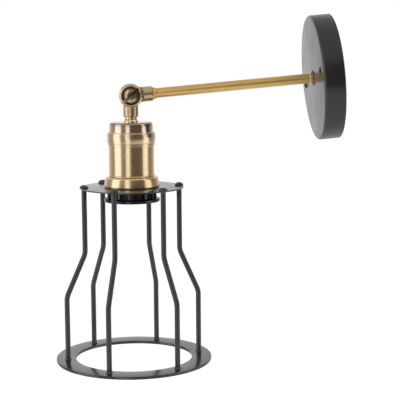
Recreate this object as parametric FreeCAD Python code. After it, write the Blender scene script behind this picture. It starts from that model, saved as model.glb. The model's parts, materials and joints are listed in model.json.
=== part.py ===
import FreeCAD, Part
import math
import os

from FreeCAD import Vector

# Cage wall light: a round canopy on the wall, a straight tube arm, a screwed knuckle
# that tilts, and a brass lamp holder that carries an open cage of six bent wires.
#
# Units are millimetres.  The origin is the centre of the canopy's back, on the wall.
# +Z is up, +Y goes into the wall, and the arm runs along -Y into the room.
# Pieces on the arm's line are drawn with +Z pointing out of the wall, then laid on -Y.
# Pieces of the lamp head are drawn with the knuckle's pivot at the origin and the lamp
# hanging down -Z, and are then tilted and moved to the pivot.

# ---- driving dimensions: canopy and wall fixing ----
CANOPY_DIAMETER = 120.0
CANOPY_DEPTH = 20.0
CANOPY_WALL = 1.5
CANOPY_EDGE = 2.2
CANOPY_SCREW_SPACING = 86.4
CANOPY_SCREW_DIAMETER = 4.0
CANOPY_SCREW_HEAD = 6.4
CANOPY_SCREW_HEAD_HEIGHT = 1.3

BRACKET_LENGTH = 102.0
BRACKET_WIDTH = 20.0
BRACKET_THICKNESS = 2.0
BRACKET_TURN = 11.0
BRACKET_CORNER = 4.0
WALL_HOLE_DIAMETER = 5.0
WALL_HOLE_SPACING = 62.0
TAB_WIDTH = 30.0
TAB_REACH = 41.0
EARTH_SCREW_DIAMETER = 4.0
EARTH_SCREW_HEAD = 8.0
EARTH_SCREW_HEAD_HEIGHT = 2.4
EARTH_SCREW_OFFSET = 17.0

BLOCK_HEIGHT = 15.0
BLOCK_DEPTH = 10.5
BLOCK_BASE = 2.0
BLOCK_MARGIN = 2.0
POLE_COUNT = 3
POLE_PITCH = 9.0
POLE_WIDTH = 6.6
POLE_TOWER_WIDTH = 5.2
POLE_SCREW_ROWS = 8.4
POLE_SCREW_DIAMETER = 3.0
BLOCK_FIXING_DIAMETER = 2.0
BLOCK_FIXING_HEAD = 3.4
BLOCK_FIXING_HEAD_HEIGHT = 1.2

# ---- driving dimensions: arm ----
ARM_REACH = 177.0
TUBE_DIAMETER = 9.5
TUBE_WALL = 1.0
TUBE_END_IN_CANOPY = 6.5
ROOT_WASHER_DIAMETER = 14.2
ROOT_WASHER_THICKNESS = 1.4
ROOT_COLLAR_DIAMETER = 11.0
ROOT_COLLAR_THICKNESS = 1.8
LOCK_WASHER_DIAMETER = 17.0
LOCK_WASHER_THICKNESS = 0.8
LOCK_WASHER_NOTCHES = 10
LOCK_WASHER_NOTCH = 1.6
TUBE_NUT_FLATS = 14.0
TUBE_NUT_HEIGHT = 3.5
TUBE_LOCK_FLATS = 11.2
TUBE_LOCK_HEIGHT = 2.6

# ---- driving dimensions: knuckle ----
BARREL_DIAMETER = 14.4
ARM_BARREL_LENGTH = 21.3
STEM_LENGTH = 20.5
BARREL_EDGE = 0.8
EYE_DIAMETER = 22.6
EYE_EDGE = 1.1
EYE_STANDS_PROUD = 0.2
SHOULDER_GAP = 1.5
TUBE_SOCKET_DEPTH = 7.5
NIPPLE_SOCKET_DEPTH = 7.0
PIVOT_DIAMETER = 6.0
LEAD_WAY_DIAMETER = 7.0
POCKET_INNER_DIAMETER = 9.4
POCKET_OUTER_DIAMETER = 16.4
POCKET_DEPTH = 2.6
FRICTION_WASHER_BORE = 17.2
FRICTION_WASHER_THICKNESS = 0.5
HEAD_DIAMETER = 20.2
HEAD_HEIGHT = 2.8
HEAD_EDGE = 0.9
HEAD_GROOVE_DIAMETER = 17.2
HEAD_GROOVE_WIDTH = 1.5
HEAD_GROOVE_DEPTH = 1.2
HEAD_DOME_RISE = 0.9
SLOT_WIDTH = 2.6
SLOT_DEPTH = 1.5
SLOT_ANGLE = 37.5
PIVOT_NUT_FLATS = 11.0
PIVOT_NUT_HEIGHT = 3.2
PIVOT_END = 1.4
LAMP_LEAN = 4.9

# ---- driving dimensions: lamp holder, from the neck down ----
NECK_HEIGHT = 4.8
NECK_WAIST_DIAMETER = 11.6
NECK_FOOT_DIAMETER = 13.6
NIPPLE_DIAMETER = 10.0
NIPPLE_WALL = 1.4
NIPPLE_IN_CAP = 6.0
HOLDER_NUT_FLATS = 14.0
HOLDER_NUT_HEIGHT = 3.0

CAP_DIAMETER = 42.4
CAP_HEIGHT = 9.6
CAP_DRAFT = 0.7
CAP_SHOULDER = 3.4
CAP_WALL = 1.0
CAP_INNER_EDGE = 1.1
CAP_FLANGE_HEIGHT = 2.0
BAND_DIAMETER = 46.8
BAND_HEIGHT = 10.2
BAND_BULGE = 0.5
BAND_EDGE = 1.1
BAND_LIP_HEIGHT = 2.8
BAND_LIP_WALL = 0.6
BAND_ROOF = 1.1
BODY_DIAMETER = 43.6
BODY_HEIGHT = 29.7
BODY_WALL = 0.8
BEAD_RISE = 0.7
BEAD_HEIGHT = 1.6
SKIRT_TOP_DIAMETER = 50.4
SKIRT_DIAMETER = 53.4
SKIRT_HEIGHT = 10.3
SKIRT_SHOULDER = 2.2
SKIRT_FOOT_EDGE = 0.9
SKIRT_SEAT_DEPTH = 1.2

SLEEVE_INSET = 2.1
SLEEVE_DIAMETER = BODY_DIAMETER - 2 * SLEEVE_INSET
SLEEVE_BELOW_PLATE = 11.6
CORE_INSET = 2.7
CORE_DIAMETER = SLEEVE_DIAMETER - 2 * CORE_INSET
CORE_SHOULDER_HEIGHT = 12.0
SOCKET_BORE = 26.6
SHELL_WALL = 0.5
SHELL_LENGTH = 20.8
SHELL_RECESS = 1.0
SHELL_FLOOR_HOLE = 17.0
CONTACT_WELL_DEPTH = 3.6
CONTACT_WIDTH = 6.0
CONTACT_THICKNESS = 0.6
CONTACT_LENGTH = 10.0
TERMINAL_SPACING = 20.0
TERMINAL_SIZE = 6.4
TERMINAL_HEIGHT = 7.0
TERMINAL_SINK = 3.0
TERMINAL_SCREW_DIAMETER = 3.0
TERMINAL_SCREW_HEAD = 4.8
TERMINAL_SCREW_HEAD_HEIGHT = 1.4

# ---- driving dimensions: shade ring and cage ----
RING_GRIP_WALL = 2.0
RING_GRIP_DIAMETER = SLEEVE_DIAMETER + 2 * RING_GRIP_WALL
RING_RIB_DIAMETER = 47.6
RING_RIB_COUNT = 24
RING_RIB_WIDTH = 1.6
RING_GRIP_HEIGHT = 9.6
RING_FLANGE_DIAMETER = 54.0
RING_FLANGE_HEIGHT = 3.2
RING_EDGE = 0.8

PLATE_DIAMETER = 100.0
PLATE_THICKNESS = 1.2
WIRE_COUNT = 6
WIRE_DIAMETER = 5.0
WIRE_TURN = 7.5
TOP_WIRE_CIRCLE = 93.0
FOOT_WIRE_CIRCLE = 130.0
UPPER_RUN = 63.8
SLANT_HEIGHT = 41.9
LOWER_RUN = 62.0
WIRE_BEND_RADIUS = 18.0
WIRE_TENON_DIAMETER = 3.6
WIRE_HEAD_DIAMETER = 8.8
WIRE_HEAD_HEIGHT = 3.1
WELD_DIAMETER = 7.0
WELD_HEIGHT = 1.6
FOOT_RING_DIAMETER = 152.0
FOOT_RING_BORE = 114.0
FOOT_RING_THICKNESS = 2.8
FOOT_RING_EDGE = 0.6

# ---- driving dimensions: inner leads ----
LEAD_DIAMETER = 2.2
LEAD_PITCH = 2.9
LEAD_HEIGHT = 6.6
LEAD_BEND_RADIUS = 3.4
LEAD_FAN_START = 6.0
HEAD_LEAD_BEND = 4.0

# ---- clearances ----
THREAD_GAP = 0.05
SEAT_GAP = 0.1
RUNNING_GAP = 0.06
FACE_GAP = 0.05
HOLE_GAP = 0.25
LEAD_GAP = 0.2
CORNER_SHARE = 0.9
SMALLEST_ARC = 1.2

# ---- places worked out from the above ----
PIVOT_FROM_WALL = CANOPY_DEPTH + ARM_REACH
CANOPY_INNER_FACE = CANOPY_DEPTH - CANOPY_WALL
TUBE_RADIUS = TUBE_DIAMETER / 2
BARREL_RADIUS = BARREL_DIAMETER / 2
EYE_RADIUS = EYE_DIAMETER / 2
EYE_OUTER_FACE = BARREL_RADIUS + EYE_STANDS_PROUD
SHOULDER_RADIUS = EYE_RADIUS + SHOULDER_GAP
ARM_EYE_FACE = FRICTION_WASHER_THICKNESS / 2
LAMP_EYE_FACE = FRICTION_WASHER_THICKNESS / 2 + FACE_GAP
BARREL_END = PIVOT_FROM_WALL - ARM_BARREL_LENGTH
TUBE_START = CANOPY_INNER_FACE - TUBE_END_IN_CANOPY
TUBE_END = BARREL_END + TUBE_SOCKET_DEPTH

BLOCK_CENTRE = BLOCK_MARGIN + BLOCK_HEIGHT / 2 - TAB_REACH
BLOCK_TOP = BRACKET_THICKNESS + BLOCK_DEPTH

STEM_END = -STEM_LENGTH
CAP_TOP = STEM_END - NECK_HEIGHT
BAND_TOP = CAP_TOP - CAP_HEIGHT
BAND_FOOT = BAND_TOP - BAND_HEIGHT
LIP_FOOT = BAND_FOOT - BAND_LIP_HEIGHT
SKIRT_TOP = LIP_FOOT - BODY_HEIGHT
PLATE_TOP = SKIRT_TOP - SKIRT_HEIGHT
PLATE_FOOT = PLATE_TOP - PLATE_THICKNESS
SLEEVE_END = PLATE_FOOT - SLEEVE_BELOW_PLATE
FLANGE_TOP = BAND_TOP - BAND_ROOF
BODY_TOP = FLANGE_TOP - CAP_FLANGE_HEIGHT
BODY_FOOT = SKIRT_TOP - SKIRT_SEAT_DEPTH
SHELL_MOUTH = SLEEVE_END + SHELL_RECESS
SOCKET_FLOOR = SHELL_MOUTH + SHELL_LENGTH
WELL_TOP = SOCKET_FLOOR + CONTACT_WELL_DEPTH
CORE_TOP = LIP_FOOT
RING_TOP = PLATE_TOP - UPPER_RUN - SLANT_HEIGHT - LOWER_RUN

BODY_RADIUS = BODY_DIAMETER / 2
CAP_RADIUS = CAP_DIAMETER / 2
SLEEVE_RADIUS = SLEEVE_DIAMETER / 2
NIPPLE_RADIUS = NIPPLE_DIAMETER / 2
SHELL_RADIUS = SOCKET_BORE / 2 + SHELL_WALL
NIPPLE_TOP = STEM_END + NIPPLE_SOCKET_DEPTH - SEAT_GAP
NIPPLE_FOOT = CAP_TOP - NIPPLE_IN_CAP
TERMINAL_FOOT = CORE_TOP - TERMINAL_SINK
TERMINAL_TOP = TERMINAL_FOOT + TERMINAL_HEIGHT

CENTRE = Vector(0, 0, 0)
X_AXIS = Vector(1, 0, 0)
Y_AXIS = Vector(0, 1, 0)
Z_AXIS = Vector(0, 0, 1)


# ---- shapes that several pieces share ----
def in_section(across, along):
    """A point of a turned outline: radius on X, height on Z."""
    return Vector(across, 0, along)


def in_plan(across, along):
    return Vector(across, along, 0)


def outline(points, place=in_section):
    """A closed wire through (across, along) points; a third number eases that corner.

    From SMALLEST_ARC up it is rounded with that radius, and below it is cut straight.
    Either takes at most CORNER_SHARE of the shorter side beside the corner.
    """
    runs = []
    for i, point in enumerate(points):
        corner = Vector(point[0], point[1], 0)
        radius = point[2] if len(point) > 2 else 0.0
        if radius <= 0:
            runs.append([corner])
            continue
        following = points[(i + 1) % len(points)]
        back = Vector(points[i - 1][0], points[i - 1][1], 0) - corner
        onward = Vector(following[0], following[1], 0) - corner
        room = CORNER_SHARE * min(back.Length, onward.Length)
        back.normalize()
        onward.normalize()
        half = back.getAngle(onward) / 2
        reach = min(radius / math.tan(half), room)
        if radius < SMALLEST_ARC:
            runs.append([corner + back * reach, corner + onward * reach])
            continue
        radius = reach * math.tan(half)
        inward = (back + onward).normalize()
        middle = corner + inward * (radius / math.sin(half) - radius)
        runs.append([corner + back * reach, middle, corner + onward * reach])
    edges = []
    for i, run in enumerate(runs):
        if len(run) == 3:
            edges.append(Part.Arc(*[place(p.x, p.y) for p in run]).toShape())
        if len(run) == 2:
            edges.append(Part.LineSegment(*[place(p.x, p.y) for p in run]).toShape())
        start, end = run[-1], runs[(i + 1) % len(runs)][0]
        if start.distanceToPoint(end) > 1e-6:
            edges.append(Part.LineSegment(place(start.x, start.y), place(end.x, end.y)).toShape())
    return Part.Wire(edges)


def turned(points):
    """A solid of revolution about Z from an outline of (radius, height) points."""
    return Part.Face(outline(points)).revolve(CENTRE, Z_AXIS, 360)


def round_bar(diameter, low, high):
    return Part.makeCylinder(diameter / 2, high - low, Vector(0, 0, low))


def washer(outer, bore, low, high):
    return round_bar(outer, low, high).cut(round_bar(bore, low - 1, high + 1))


def dome(diameter, rise, low):
    """A flat-based cap of a sphere, standing on height low."""
    sphere_radius = (diameter * diameter / 4 + rise * rise) / (2 * rise)
    centre = Vector(0, 0, low + rise - sphere_radius)
    return Part.makeSphere(sphere_radius, centre).common(round_bar(2 * diameter, low, low + 2 * rise))


def hex_nut(flats, bore, low, high):
    corner = flats / math.sqrt(3)
    angles = [math.radians(a) for a in range(0, 420, 60)]
    ring = [Vector(corner * math.cos(a), corner * math.sin(a), low) for a in angles]
    prism = Part.Face(Part.makePolygon(ring)).extrude(Vector(0, 0, high - low))
    return prism.cut(round_bar(bore, low - 1, high + 1))


def screw(head, head_height, shank, length):
    """A screw on Z: the shank goes down from 0 and the head, eased at its rim, stands on 0."""
    return turned([
        (0, -length),
        (shank / 2, -length),
        (shank / 2, 0),
        (head / 2, 0),
        (head / 2, head_height, head_height / 2),
        (0, head_height),
    ])


def box(low, high):
    size = [high[i] - low[i] for i in range(3)]
    return Part.makeBox(size[0], size[1], size[2], Vector(*low))


def turned_by(shape, axis, degrees):
    copy = shape.copy()
    copy.rotate(CENTRE, axis, degrees)
    return copy


def moved(shape, x, y, z):
    copy = shape.copy()
    copy.translate(Vector(x, y, z))
    return copy


def round_section(diameter, centre, along):
    return Part.Face(Part.Wire(Part.makeCircle(diameter / 2, centre, along)))


def bent_rod(points, bend_radius, diameter):
    """A round rod through the points, with a tangent arc of bend_radius at each corner."""
    points = [Vector(*point) for point in points]
    here, pieces = points[0], []
    for i in range(1, len(points)):
        corner = points[i]
        along = (corner - here).normalize()
        if i == len(points) - 1:
            pieces.append(round_section(diameter, here, along).extrude(corner - here))
            break
        onward = (points[i + 1] - corner).normalize()
        turn = along.getAngle(onward)
        reach = bend_radius * math.tan(turn / 2)
        start = corner - along * reach
        pieces.append(round_section(diameter, here, along).extrude(start - here))
        axis = along.cross(onward).normalize()
        middle = start + axis.cross(along) * bend_radius
        section = round_section(diameter, start, along)
        pieces.append(section.revolve(middle, axis, math.degrees(turn)))
        here = corner + onward * reach
    return pieces[0].multiFuse(pieces[1:]).removeSplitter()


# ---- frames ----
def on_arm(shape):
    """From heights above the wall on +Z to the arm's own line, along -Y."""
    return turned_by(shape, X_AXIS, 90)


def on_strap(shape):
    """From the wall strap's own frame, which is turned a little about the arm's line."""
    return on_arm(turned_by(shape, Z_AXIS, BRACKET_TURN))


def at_pivot(shape):
    return moved(shape, 0, -PIVOT_FROM_WALL, 0)


def on_head(shape):
    """From the lamp's upright frame to its place below the pivot, leaning outward."""
    return at_pivot(turned_by(shape, X_AXIS, -LAMP_LEAN))


def on_hinge(shape):
    """From +Z to the hinge's line, so that heights become distances along +X."""
    return at_pivot(turned_by(shape, Y_AXIS, 90))


# ---- canopy and wall fixing ----
def both_sides(spacing):
    return (-spacing / 2, spacing / 2)


def canopy():
    radius = CANOPY_DIAMETER / 2
    shell = turned([
        (radius - CANOPY_WALL, 0),
        (radius, 0),
        (radius, CANOPY_DEPTH, CANOPY_EDGE),
        (TUBE_RADIUS + SEAT_GAP, CANOPY_DEPTH),
        (TUBE_RADIUS + SEAT_GAP, CANOPY_INNER_FACE),
        (radius - CANOPY_WALL, CANOPY_INNER_FACE),
    ])
    hole = round_bar(CANOPY_SCREW_DIAMETER + 2 * HOLE_GAP, 0, CANOPY_DEPTH + 1)
    for x in both_sides(CANOPY_SCREW_SPACING):
        shell = shell.cut(turned_by(moved(hole, x, 0, 0), Z_AXIS, BRACKET_TURN))
    return on_arm(shell)


def wall_bracket():
    """A flat strap across the canopy, with a tab below its middle for the terminals."""
    half_length, half_width, half_tab = BRACKET_LENGTH / 2, BRACKET_WIDTH / 2, TAB_WIDTH / 2
    strap = outline([
        (-half_length, half_width, BRACKET_CORNER),
        (-half_length, -half_width, BRACKET_CORNER),
        (-half_tab, -half_width),
        (-half_tab, -TAB_REACH, BRACKET_CORNER),
        (half_tab, -TAB_REACH, BRACKET_CORNER),
        (half_tab, -half_width),
        (half_length, -half_width, BRACKET_CORNER),
        (half_length, half_width, BRACKET_CORNER),
    ], place=in_plan)
    plate = Part.Face(strap).extrude(Vector(0, 0, BRACKET_THICKNESS))
    holes = [(x, 0, CANOPY_SCREW_DIAMETER + 2 * THREAD_GAP) for x in both_sides(CANOPY_SCREW_SPACING)]
    holes += [(x, 0, WALL_HOLE_DIAMETER) for x in both_sides(WALL_HOLE_SPACING)]
    holes.append((EARTH_SCREW_OFFSET, 0, EARTH_SCREW_DIAMETER + 2 * THREAD_GAP))
    holes.append((POLE_PITCH / 2, BLOCK_CENTRE, BLOCK_FIXING_DIAMETER + 2 * THREAD_GAP))
    for x, y, diameter in holes:
        plate = plate.cut(moved(round_bar(diameter, -1, BRACKET_THICKNESS + 1), x, y, 0))
    return on_strap(plate)


def canopy_screws():
    length = CANOPY_DEPTH - FACE_GAP
    one = screw(CANOPY_SCREW_HEAD, CANOPY_SCREW_HEAD_HEIGHT, CANOPY_SCREW_DIAMETER, length)
    places = both_sides(CANOPY_SCREW_SPACING)
    return on_strap(Part.makeCompound([moved(one, x, 0, CANOPY_DEPTH) for x in places]))


def earth_screw():
    seat = BRACKET_THICKNESS + LEAD_DIAMETER
    one = screw(EARTH_SCREW_HEAD, EARTH_SCREW_HEAD_HEIGHT, EARTH_SCREW_DIAMETER, seat - FACE_GAP)
    return on_strap(moved(one, EARTH_SCREW_OFFSET, 0, seat))


def pole_places():
    first = -(POLE_COUNT - 1) / 2
    return [(first + i) * POLE_PITCH for i in range(POLE_COUNT)]


def pole_rows():
    return [BLOCK_CENTRE + y for y in both_sides(POLE_SCREW_ROWS)]


def terminal_block():
    """Moulded block: a housing for each pole, with two screw towers on it."""
    low = BLOCK_CENTRE - BLOCK_HEIGHT / 2
    half_pole = POLE_WIDTH / 2
    half_width = pole_places()[-1] + half_pole
    block = box(
        (-half_width, low, BRACKET_THICKNESS),
        (half_width, low + BLOCK_HEIGHT, BRACKET_THICKNESS + BLOCK_BASE),
    )
    half_tower = POLE_TOWER_WIDTH / 2
    tower = box((-half_tower, -half_tower, BRACKET_THICKNESS), (half_tower, half_tower, BLOCK_TOP))
    boss = round_bar(BLOCK_FIXING_HEAD, BRACKET_THICKNESS, BLOCK_TOP - BLOCK_BASE)
    block = block.fuse(moved(boss, POLE_PITCH / 2, BLOCK_CENTRE, 0))
    for x in pole_places():
        block = block.fuse(box(
            (x - half_pole, low, BRACKET_THICKNESS),
            (x + half_pole, low + BLOCK_HEIGHT, LEAD_HEIGHT + half_pole),
        ))
        block = block.fuse([moved(tower, x, y, 0) for y in pole_rows()])
    well = round_bar(POLE_SCREW_DIAMETER + 2 * SEAT_GAP, LEAD_HEIGHT, BLOCK_TOP + 1)
    way = LEAD_DIAMETER / 2 + LEAD_GAP
    for x in pole_places():
        block = block.cut(Part.makeCylinder(way, BLOCK_HEIGHT + 2, Vector(x, low - 1, LEAD_HEIGHT), Y_AXIS))
        block = block.cut([moved(well, x, y, 0) for y in pole_rows()])
    hole = round_bar(BLOCK_FIXING_DIAMETER + 2 * SEAT_GAP, 0, BLOCK_TOP + 1)
    return on_strap(block.cut(moved(hole, POLE_PITCH / 2, BLOCK_CENTRE, 0)).removeSplitter())


def block_screws():
    """The clamping screws of the poles, and the long screw that holds the block down."""
    reach = BLOCK_TOP - 2 * FACE_GAP - LEAD_HEIGHT - LEAD_DIAMETER / 2
    clamp = round_bar(POLE_SCREW_DIAMETER, -reach, 0)
    screws = [moved(clamp, x, y, BLOCK_TOP - FACE_GAP) for x in pole_places() for y in pole_rows()]
    seat = BLOCK_TOP - BLOCK_BASE
    fixing = screw(BLOCK_FIXING_HEAD, BLOCK_FIXING_HEAD_HEIGHT, BLOCK_FIXING_DIAMETER, seat - FACE_GAP)
    screws.append(moved(fixing, POLE_PITCH / 2, BLOCK_CENTRE, seat))
    return on_strap(Part.makeCompound(screws))


def arm_lead(pole_x, tube_x):
    """A lead from its pole to the tube's mouth, round a bend and along the tube."""
    block_edge = BLOCK_CENTRE + BLOCK_HEIGHT / 2
    return on_strap(bent_rod([
        (pole_x, BLOCK_CENTRE, LEAD_HEIGHT),
        (pole_x, block_edge + LEAD_FAN_START, LEAD_HEIGHT),
        (tube_x, 0, LEAD_HEIGHT),
        (tube_x, 0, TUBE_END),
    ], LEAD_BEND_RADIUS, LEAD_DIAMETER))


def live_lead():
    return arm_lead(pole_places()[0], -LEAD_PITCH / 2)


def neutral_lead():
    return arm_lead(pole_places()[1], LEAD_PITCH / 2)


def earth_lead():
    """The short lead from the last pole to the earth screw, laid under its head."""
    beside = EARTH_SCREW_OFFSET - EARTH_SCREW_DIAMETER / 2 - LEAD_DIAMETER / 2 - SEAT_GAP
    on_plate = BRACKET_THICKNESS + LEAD_DIAMETER / 2
    block_edge = BLOCK_CENTRE + BLOCK_HEIGHT / 2
    return on_strap(bent_rod([
        (pole_places()[-1], BLOCK_CENTRE, LEAD_HEIGHT),
        (pole_places()[-1], block_edge + LEAD_FAN_START / 2, LEAD_HEIGHT),
        (beside, -EARTH_SCREW_HEAD, on_plate),
        (beside, EARTH_SCREW_HEAD / 2, on_plate),
    ], LEAD_BEND_RADIUS, LEAD_DIAMETER))


# ---- arm ----
def arm_tube():
    tube = washer(TUBE_DIAMETER, TUBE_DIAMETER - 2 * TUBE_WALL, TUBE_START, TUBE_END)
    return on_arm(tube)


def root_washer():
    bore = TUBE_DIAMETER + 2 * THREAD_GAP
    edge = ROOT_WASHER_THICKNESS * 0.3
    return on_arm(turned([
        (bore / 2, CANOPY_DEPTH),
        (ROOT_WASHER_DIAMETER / 2, CANOPY_DEPTH),
        (ROOT_WASHER_DIAMETER / 2, CANOPY_DEPTH + ROOT_WASHER_THICKNESS, edge),
        (bore / 2, CANOPY_DEPTH + ROOT_WASHER_THICKNESS),
    ]))


def root_collar():
    low = CANOPY_DEPTH + ROOT_WASHER_THICKNESS
    high = low + ROOT_COLLAR_THICKNESS
    edge = ROOT_COLLAR_THICKNESS * 0.3
    return on_arm(turned([
        (TUBE_RADIUS + THREAD_GAP, low),
        (ROOT_COLLAR_DIAMETER / 2, low, edge),
        (ROOT_COLLAR_DIAMETER / 2, high, edge),
        (TUBE_RADIUS + THREAD_GAP, high),
    ]))


def lock_washer():
    """A toothed washer between the canopy's inner face and the nut."""
    low = CANOPY_INNER_FACE - LOCK_WASHER_THICKNESS
    ring = washer(LOCK_WASHER_DIAMETER, TUBE_DIAMETER + 2 * THREAD_GAP, low, CANOPY_INNER_FACE)
    half, rim = LOCK_WASHER_NOTCH / 2, LOCK_WASHER_DIAMETER / 2
    notch = box((rim - LOCK_WASHER_NOTCH, -half, low - 1), (rim + 1, half, CANOPY_DEPTH))
    step = 360 / LOCK_WASHER_NOTCHES
    return on_arm(ring.cut([turned_by(notch, Z_AXIS, i * step) for i in range(LOCK_WASHER_NOTCHES)]))


def canopy_nut():
    high = CANOPY_INNER_FACE - LOCK_WASHER_THICKNESS
    return on_arm(hex_nut(TUBE_NUT_FLATS, TUBE_DIAMETER + 2 * THREAD_GAP, high - TUBE_NUT_HEIGHT, high))


def tube_lock_nut():
    """The thin nut that locks the tube in the knuckle's barrel."""
    return on_arm(hex_nut(
        TUBE_LOCK_FLATS, TUBE_DIAMETER + 2 * THREAD_GAP, BARREL_END - TUBE_LOCK_HEIGHT, BARREL_END))


# ---- knuckle ----
def knuckle_half(side, eye_face, barrel_length, socket_diameter, socket_depth):
    """Half a knuckle: an eye on one side of the hinge's middle, and a barrel down -Z."""
    eye = turned([
        (PIVOT_DIAMETER / 2 + RUNNING_GAP, eye_face),
        (EYE_RADIUS, eye_face),
        (EYE_RADIUS, EYE_OUTER_FACE, EYE_EDGE),
        (PIVOT_DIAMETER / 2 + RUNNING_GAP, EYE_OUTER_FACE),
    ])
    pocket = washer(POCKET_OUTER_DIAMETER, POCKET_INNER_DIAMETER, 0, eye_face + POCKET_DEPTH)
    barrel = turned([
        (0, 0),
        (BARREL_RADIUS, 0),
        (BARREL_RADIUS, -barrel_length, BARREL_EDGE),
        (0, -barrel_length),
    ])
    other_eye_room = round_bar(2 * SHOULDER_RADIUS, -EYE_OUTER_FACE - 1, eye_face)
    pivot_hole = round_bar(PIVOT_DIAMETER + 2 * RUNNING_GAP, -EYE_OUTER_FACE, EYE_OUTER_FACE + 1)
    barrel = barrel.cut(turned_by(other_eye_room, Y_AXIS, side * 90))
    half = barrel.fuse(turned_by(eye, Y_AXIS, side * 90))
    half = half.cut(turned_by(pivot_hole, Y_AXIS, side * 90))
    half = half.cut(turned_by(pocket, Y_AXIS, side * 90))
    half = half.cut(round_bar(socket_diameter, -barrel_length - 1, socket_depth - barrel_length))
    lead_way = round_bar(LEAD_WAY_DIAMETER, -barrel_length, -POCKET_OUTER_DIAMETER / 2 + POCKET_DEPTH)
    return half.cut(lead_way).removeSplitter()


def knuckle_arm_half():
    half = knuckle_half(
        -1, ARM_EYE_FACE, ARM_BARREL_LENGTH, TUBE_DIAMETER + 2 * THREAD_GAP, TUBE_SOCKET_DEPTH)
    return at_pivot(turned_by(half, X_AXIS, 90))


def knuckle_lamp_half():
    half = knuckle_half(
        1, LAMP_EYE_FACE, STEM_LENGTH, NIPPLE_DIAMETER + 2 * THREAD_GAP, NIPPLE_SOCKET_DEPTH)
    return on_head(half)


def knuckle_screw():
    """The hinge screw, with a broad slotted head: a rim, a groove and a domed middle."""
    seat = EYE_OUTER_FACE + FACE_GAP
    top = seat + HEAD_HEIGHT
    groove_outer = HEAD_GROOVE_DIAMETER / 2
    groove_inner = groove_outer - HEAD_GROOVE_WIDTH
    head = turned([
        (0, seat),
        (HEAD_DIAMETER / 2, seat),
        (HEAD_DIAMETER / 2, top, HEAD_EDGE),
        (groove_outer, top),
        (groove_outer, top - HEAD_GROOVE_DEPTH),
        (0, top - HEAD_GROOVE_DEPTH),
    ])
    boss = round_bar(2 * groove_inner, seat, top - HEAD_DOME_RISE / 2)
    head = head.fuse([boss, dome(2 * groove_inner, HEAD_DOME_RISE, top - HEAD_DOME_RISE / 2)])
    shank_end = -(EYE_OUTER_FACE + PIVOT_NUT_HEIGHT + PIVOT_END)
    head = head.fuse(round_bar(PIVOT_DIAMETER, shank_end, seat))
    slot = box(
        (-HEAD_DIAMETER, -SLOT_WIDTH / 2, top - SLOT_DEPTH),
        (HEAD_DIAMETER, SLOT_WIDTH / 2, top + HEAD_DOME_RISE),
    )
    head = head.cut(turned_by(slot, Z_AXIS, 90 + SLOT_ANGLE))
    return on_hinge(head.removeSplitter())


def knuckle_nut():
    low = -EYE_OUTER_FACE - PIVOT_NUT_HEIGHT
    return on_hinge(hex_nut(PIVOT_NUT_FLATS, PIVOT_DIAMETER + 2 * THREAD_GAP, low, -EYE_OUTER_FACE))


def friction_washer():
    outer = EYE_DIAMETER - 2 * SEAT_GAP
    return on_hinge(washer(outer, FRICTION_WASHER_BORE, -ARM_EYE_FACE, ARM_EYE_FACE))


# ---- lamp holder ----
def neck_collar():
    """The small turned piece between the stem and the holder, waisted above its foot."""
    bore = NIPPLE_RADIUS + THREAD_GAP
    waist_foot = STEM_END - NECK_HEIGHT * 0.45
    foot_top = CAP_TOP + NECK_HEIGHT * 0.2
    return on_head(turned([
        (bore, STEM_END),
        (NECK_WAIST_DIAMETER / 2, STEM_END),
        (NECK_WAIST_DIAMETER / 2, waist_foot, NECK_HEIGHT * 0.3),
        (NECK_FOOT_DIAMETER / 2, foot_top, NECK_HEIGHT * 0.1),
        (NECK_FOOT_DIAMETER / 2, CAP_TOP),
        (bore, CAP_TOP),
    ]))


def neck_nipple():
    bore = NIPPLE_DIAMETER - 2 * NIPPLE_WALL
    return on_head(washer(NIPPLE_DIAMETER, bore, NIPPLE_FOOT, NIPPLE_TOP))


def holder_nut():
    high = CAP_TOP - CAP_WALL
    bore = NIPPLE_DIAMETER + 2 * THREAD_GAP
    return on_head(hex_nut(HOLDER_NUT_FLATS, bore, high - HOLDER_NUT_HEIGHT, high))


def holder_cap():
    """A spun cap: flat top, round shoulder, slightly flared wall and a flange below."""
    bore = NIPPLE_RADIUS + THREAD_GAP
    inner = CAP_RADIUS - CAP_WALL
    return on_head(turned([
        (bore, CAP_TOP),
        (CAP_RADIUS - CAP_DRAFT, CAP_TOP, CAP_SHOULDER),
        (CAP_RADIUS, BAND_TOP),
        (CAP_RADIUS, FLANGE_TOP),
        (BODY_RADIUS, FLANGE_TOP),
        (BODY_RADIUS, BODY_TOP),
        (inner, BODY_TOP),
        (inner, BAND_TOP),
        (inner - CAP_DRAFT, CAP_TOP - CAP_WALL, CAP_INNER_EDGE),
        (bore, CAP_TOP - CAP_WALL),
    ]))


def holder_band():
    """The ring nut that draws the cap down on the body, barrel-shaped with a plain lip."""
    radius = BAND_DIAMETER / 2
    inner = BODY_RADIUS + THREAD_GAP
    lip = inner + BAND_LIP_WALL
    return on_head(turned([
        (CAP_RADIUS + SEAT_GAP, BAND_TOP),
        (radius - BAND_BULGE, BAND_TOP, BAND_EDGE),
        (radius, (BAND_TOP + BAND_FOOT) / 2, BAND_HEIGHT),
        (radius - BAND_BULGE, BAND_FOOT),
        (lip, BAND_FOOT),
        (lip, LIP_FOOT),
        (inner, LIP_FOOT),
        (inner, FLANGE_TOP),
        (CAP_RADIUS + SEAT_GAP, FLANGE_TOP),
    ]))


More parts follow.
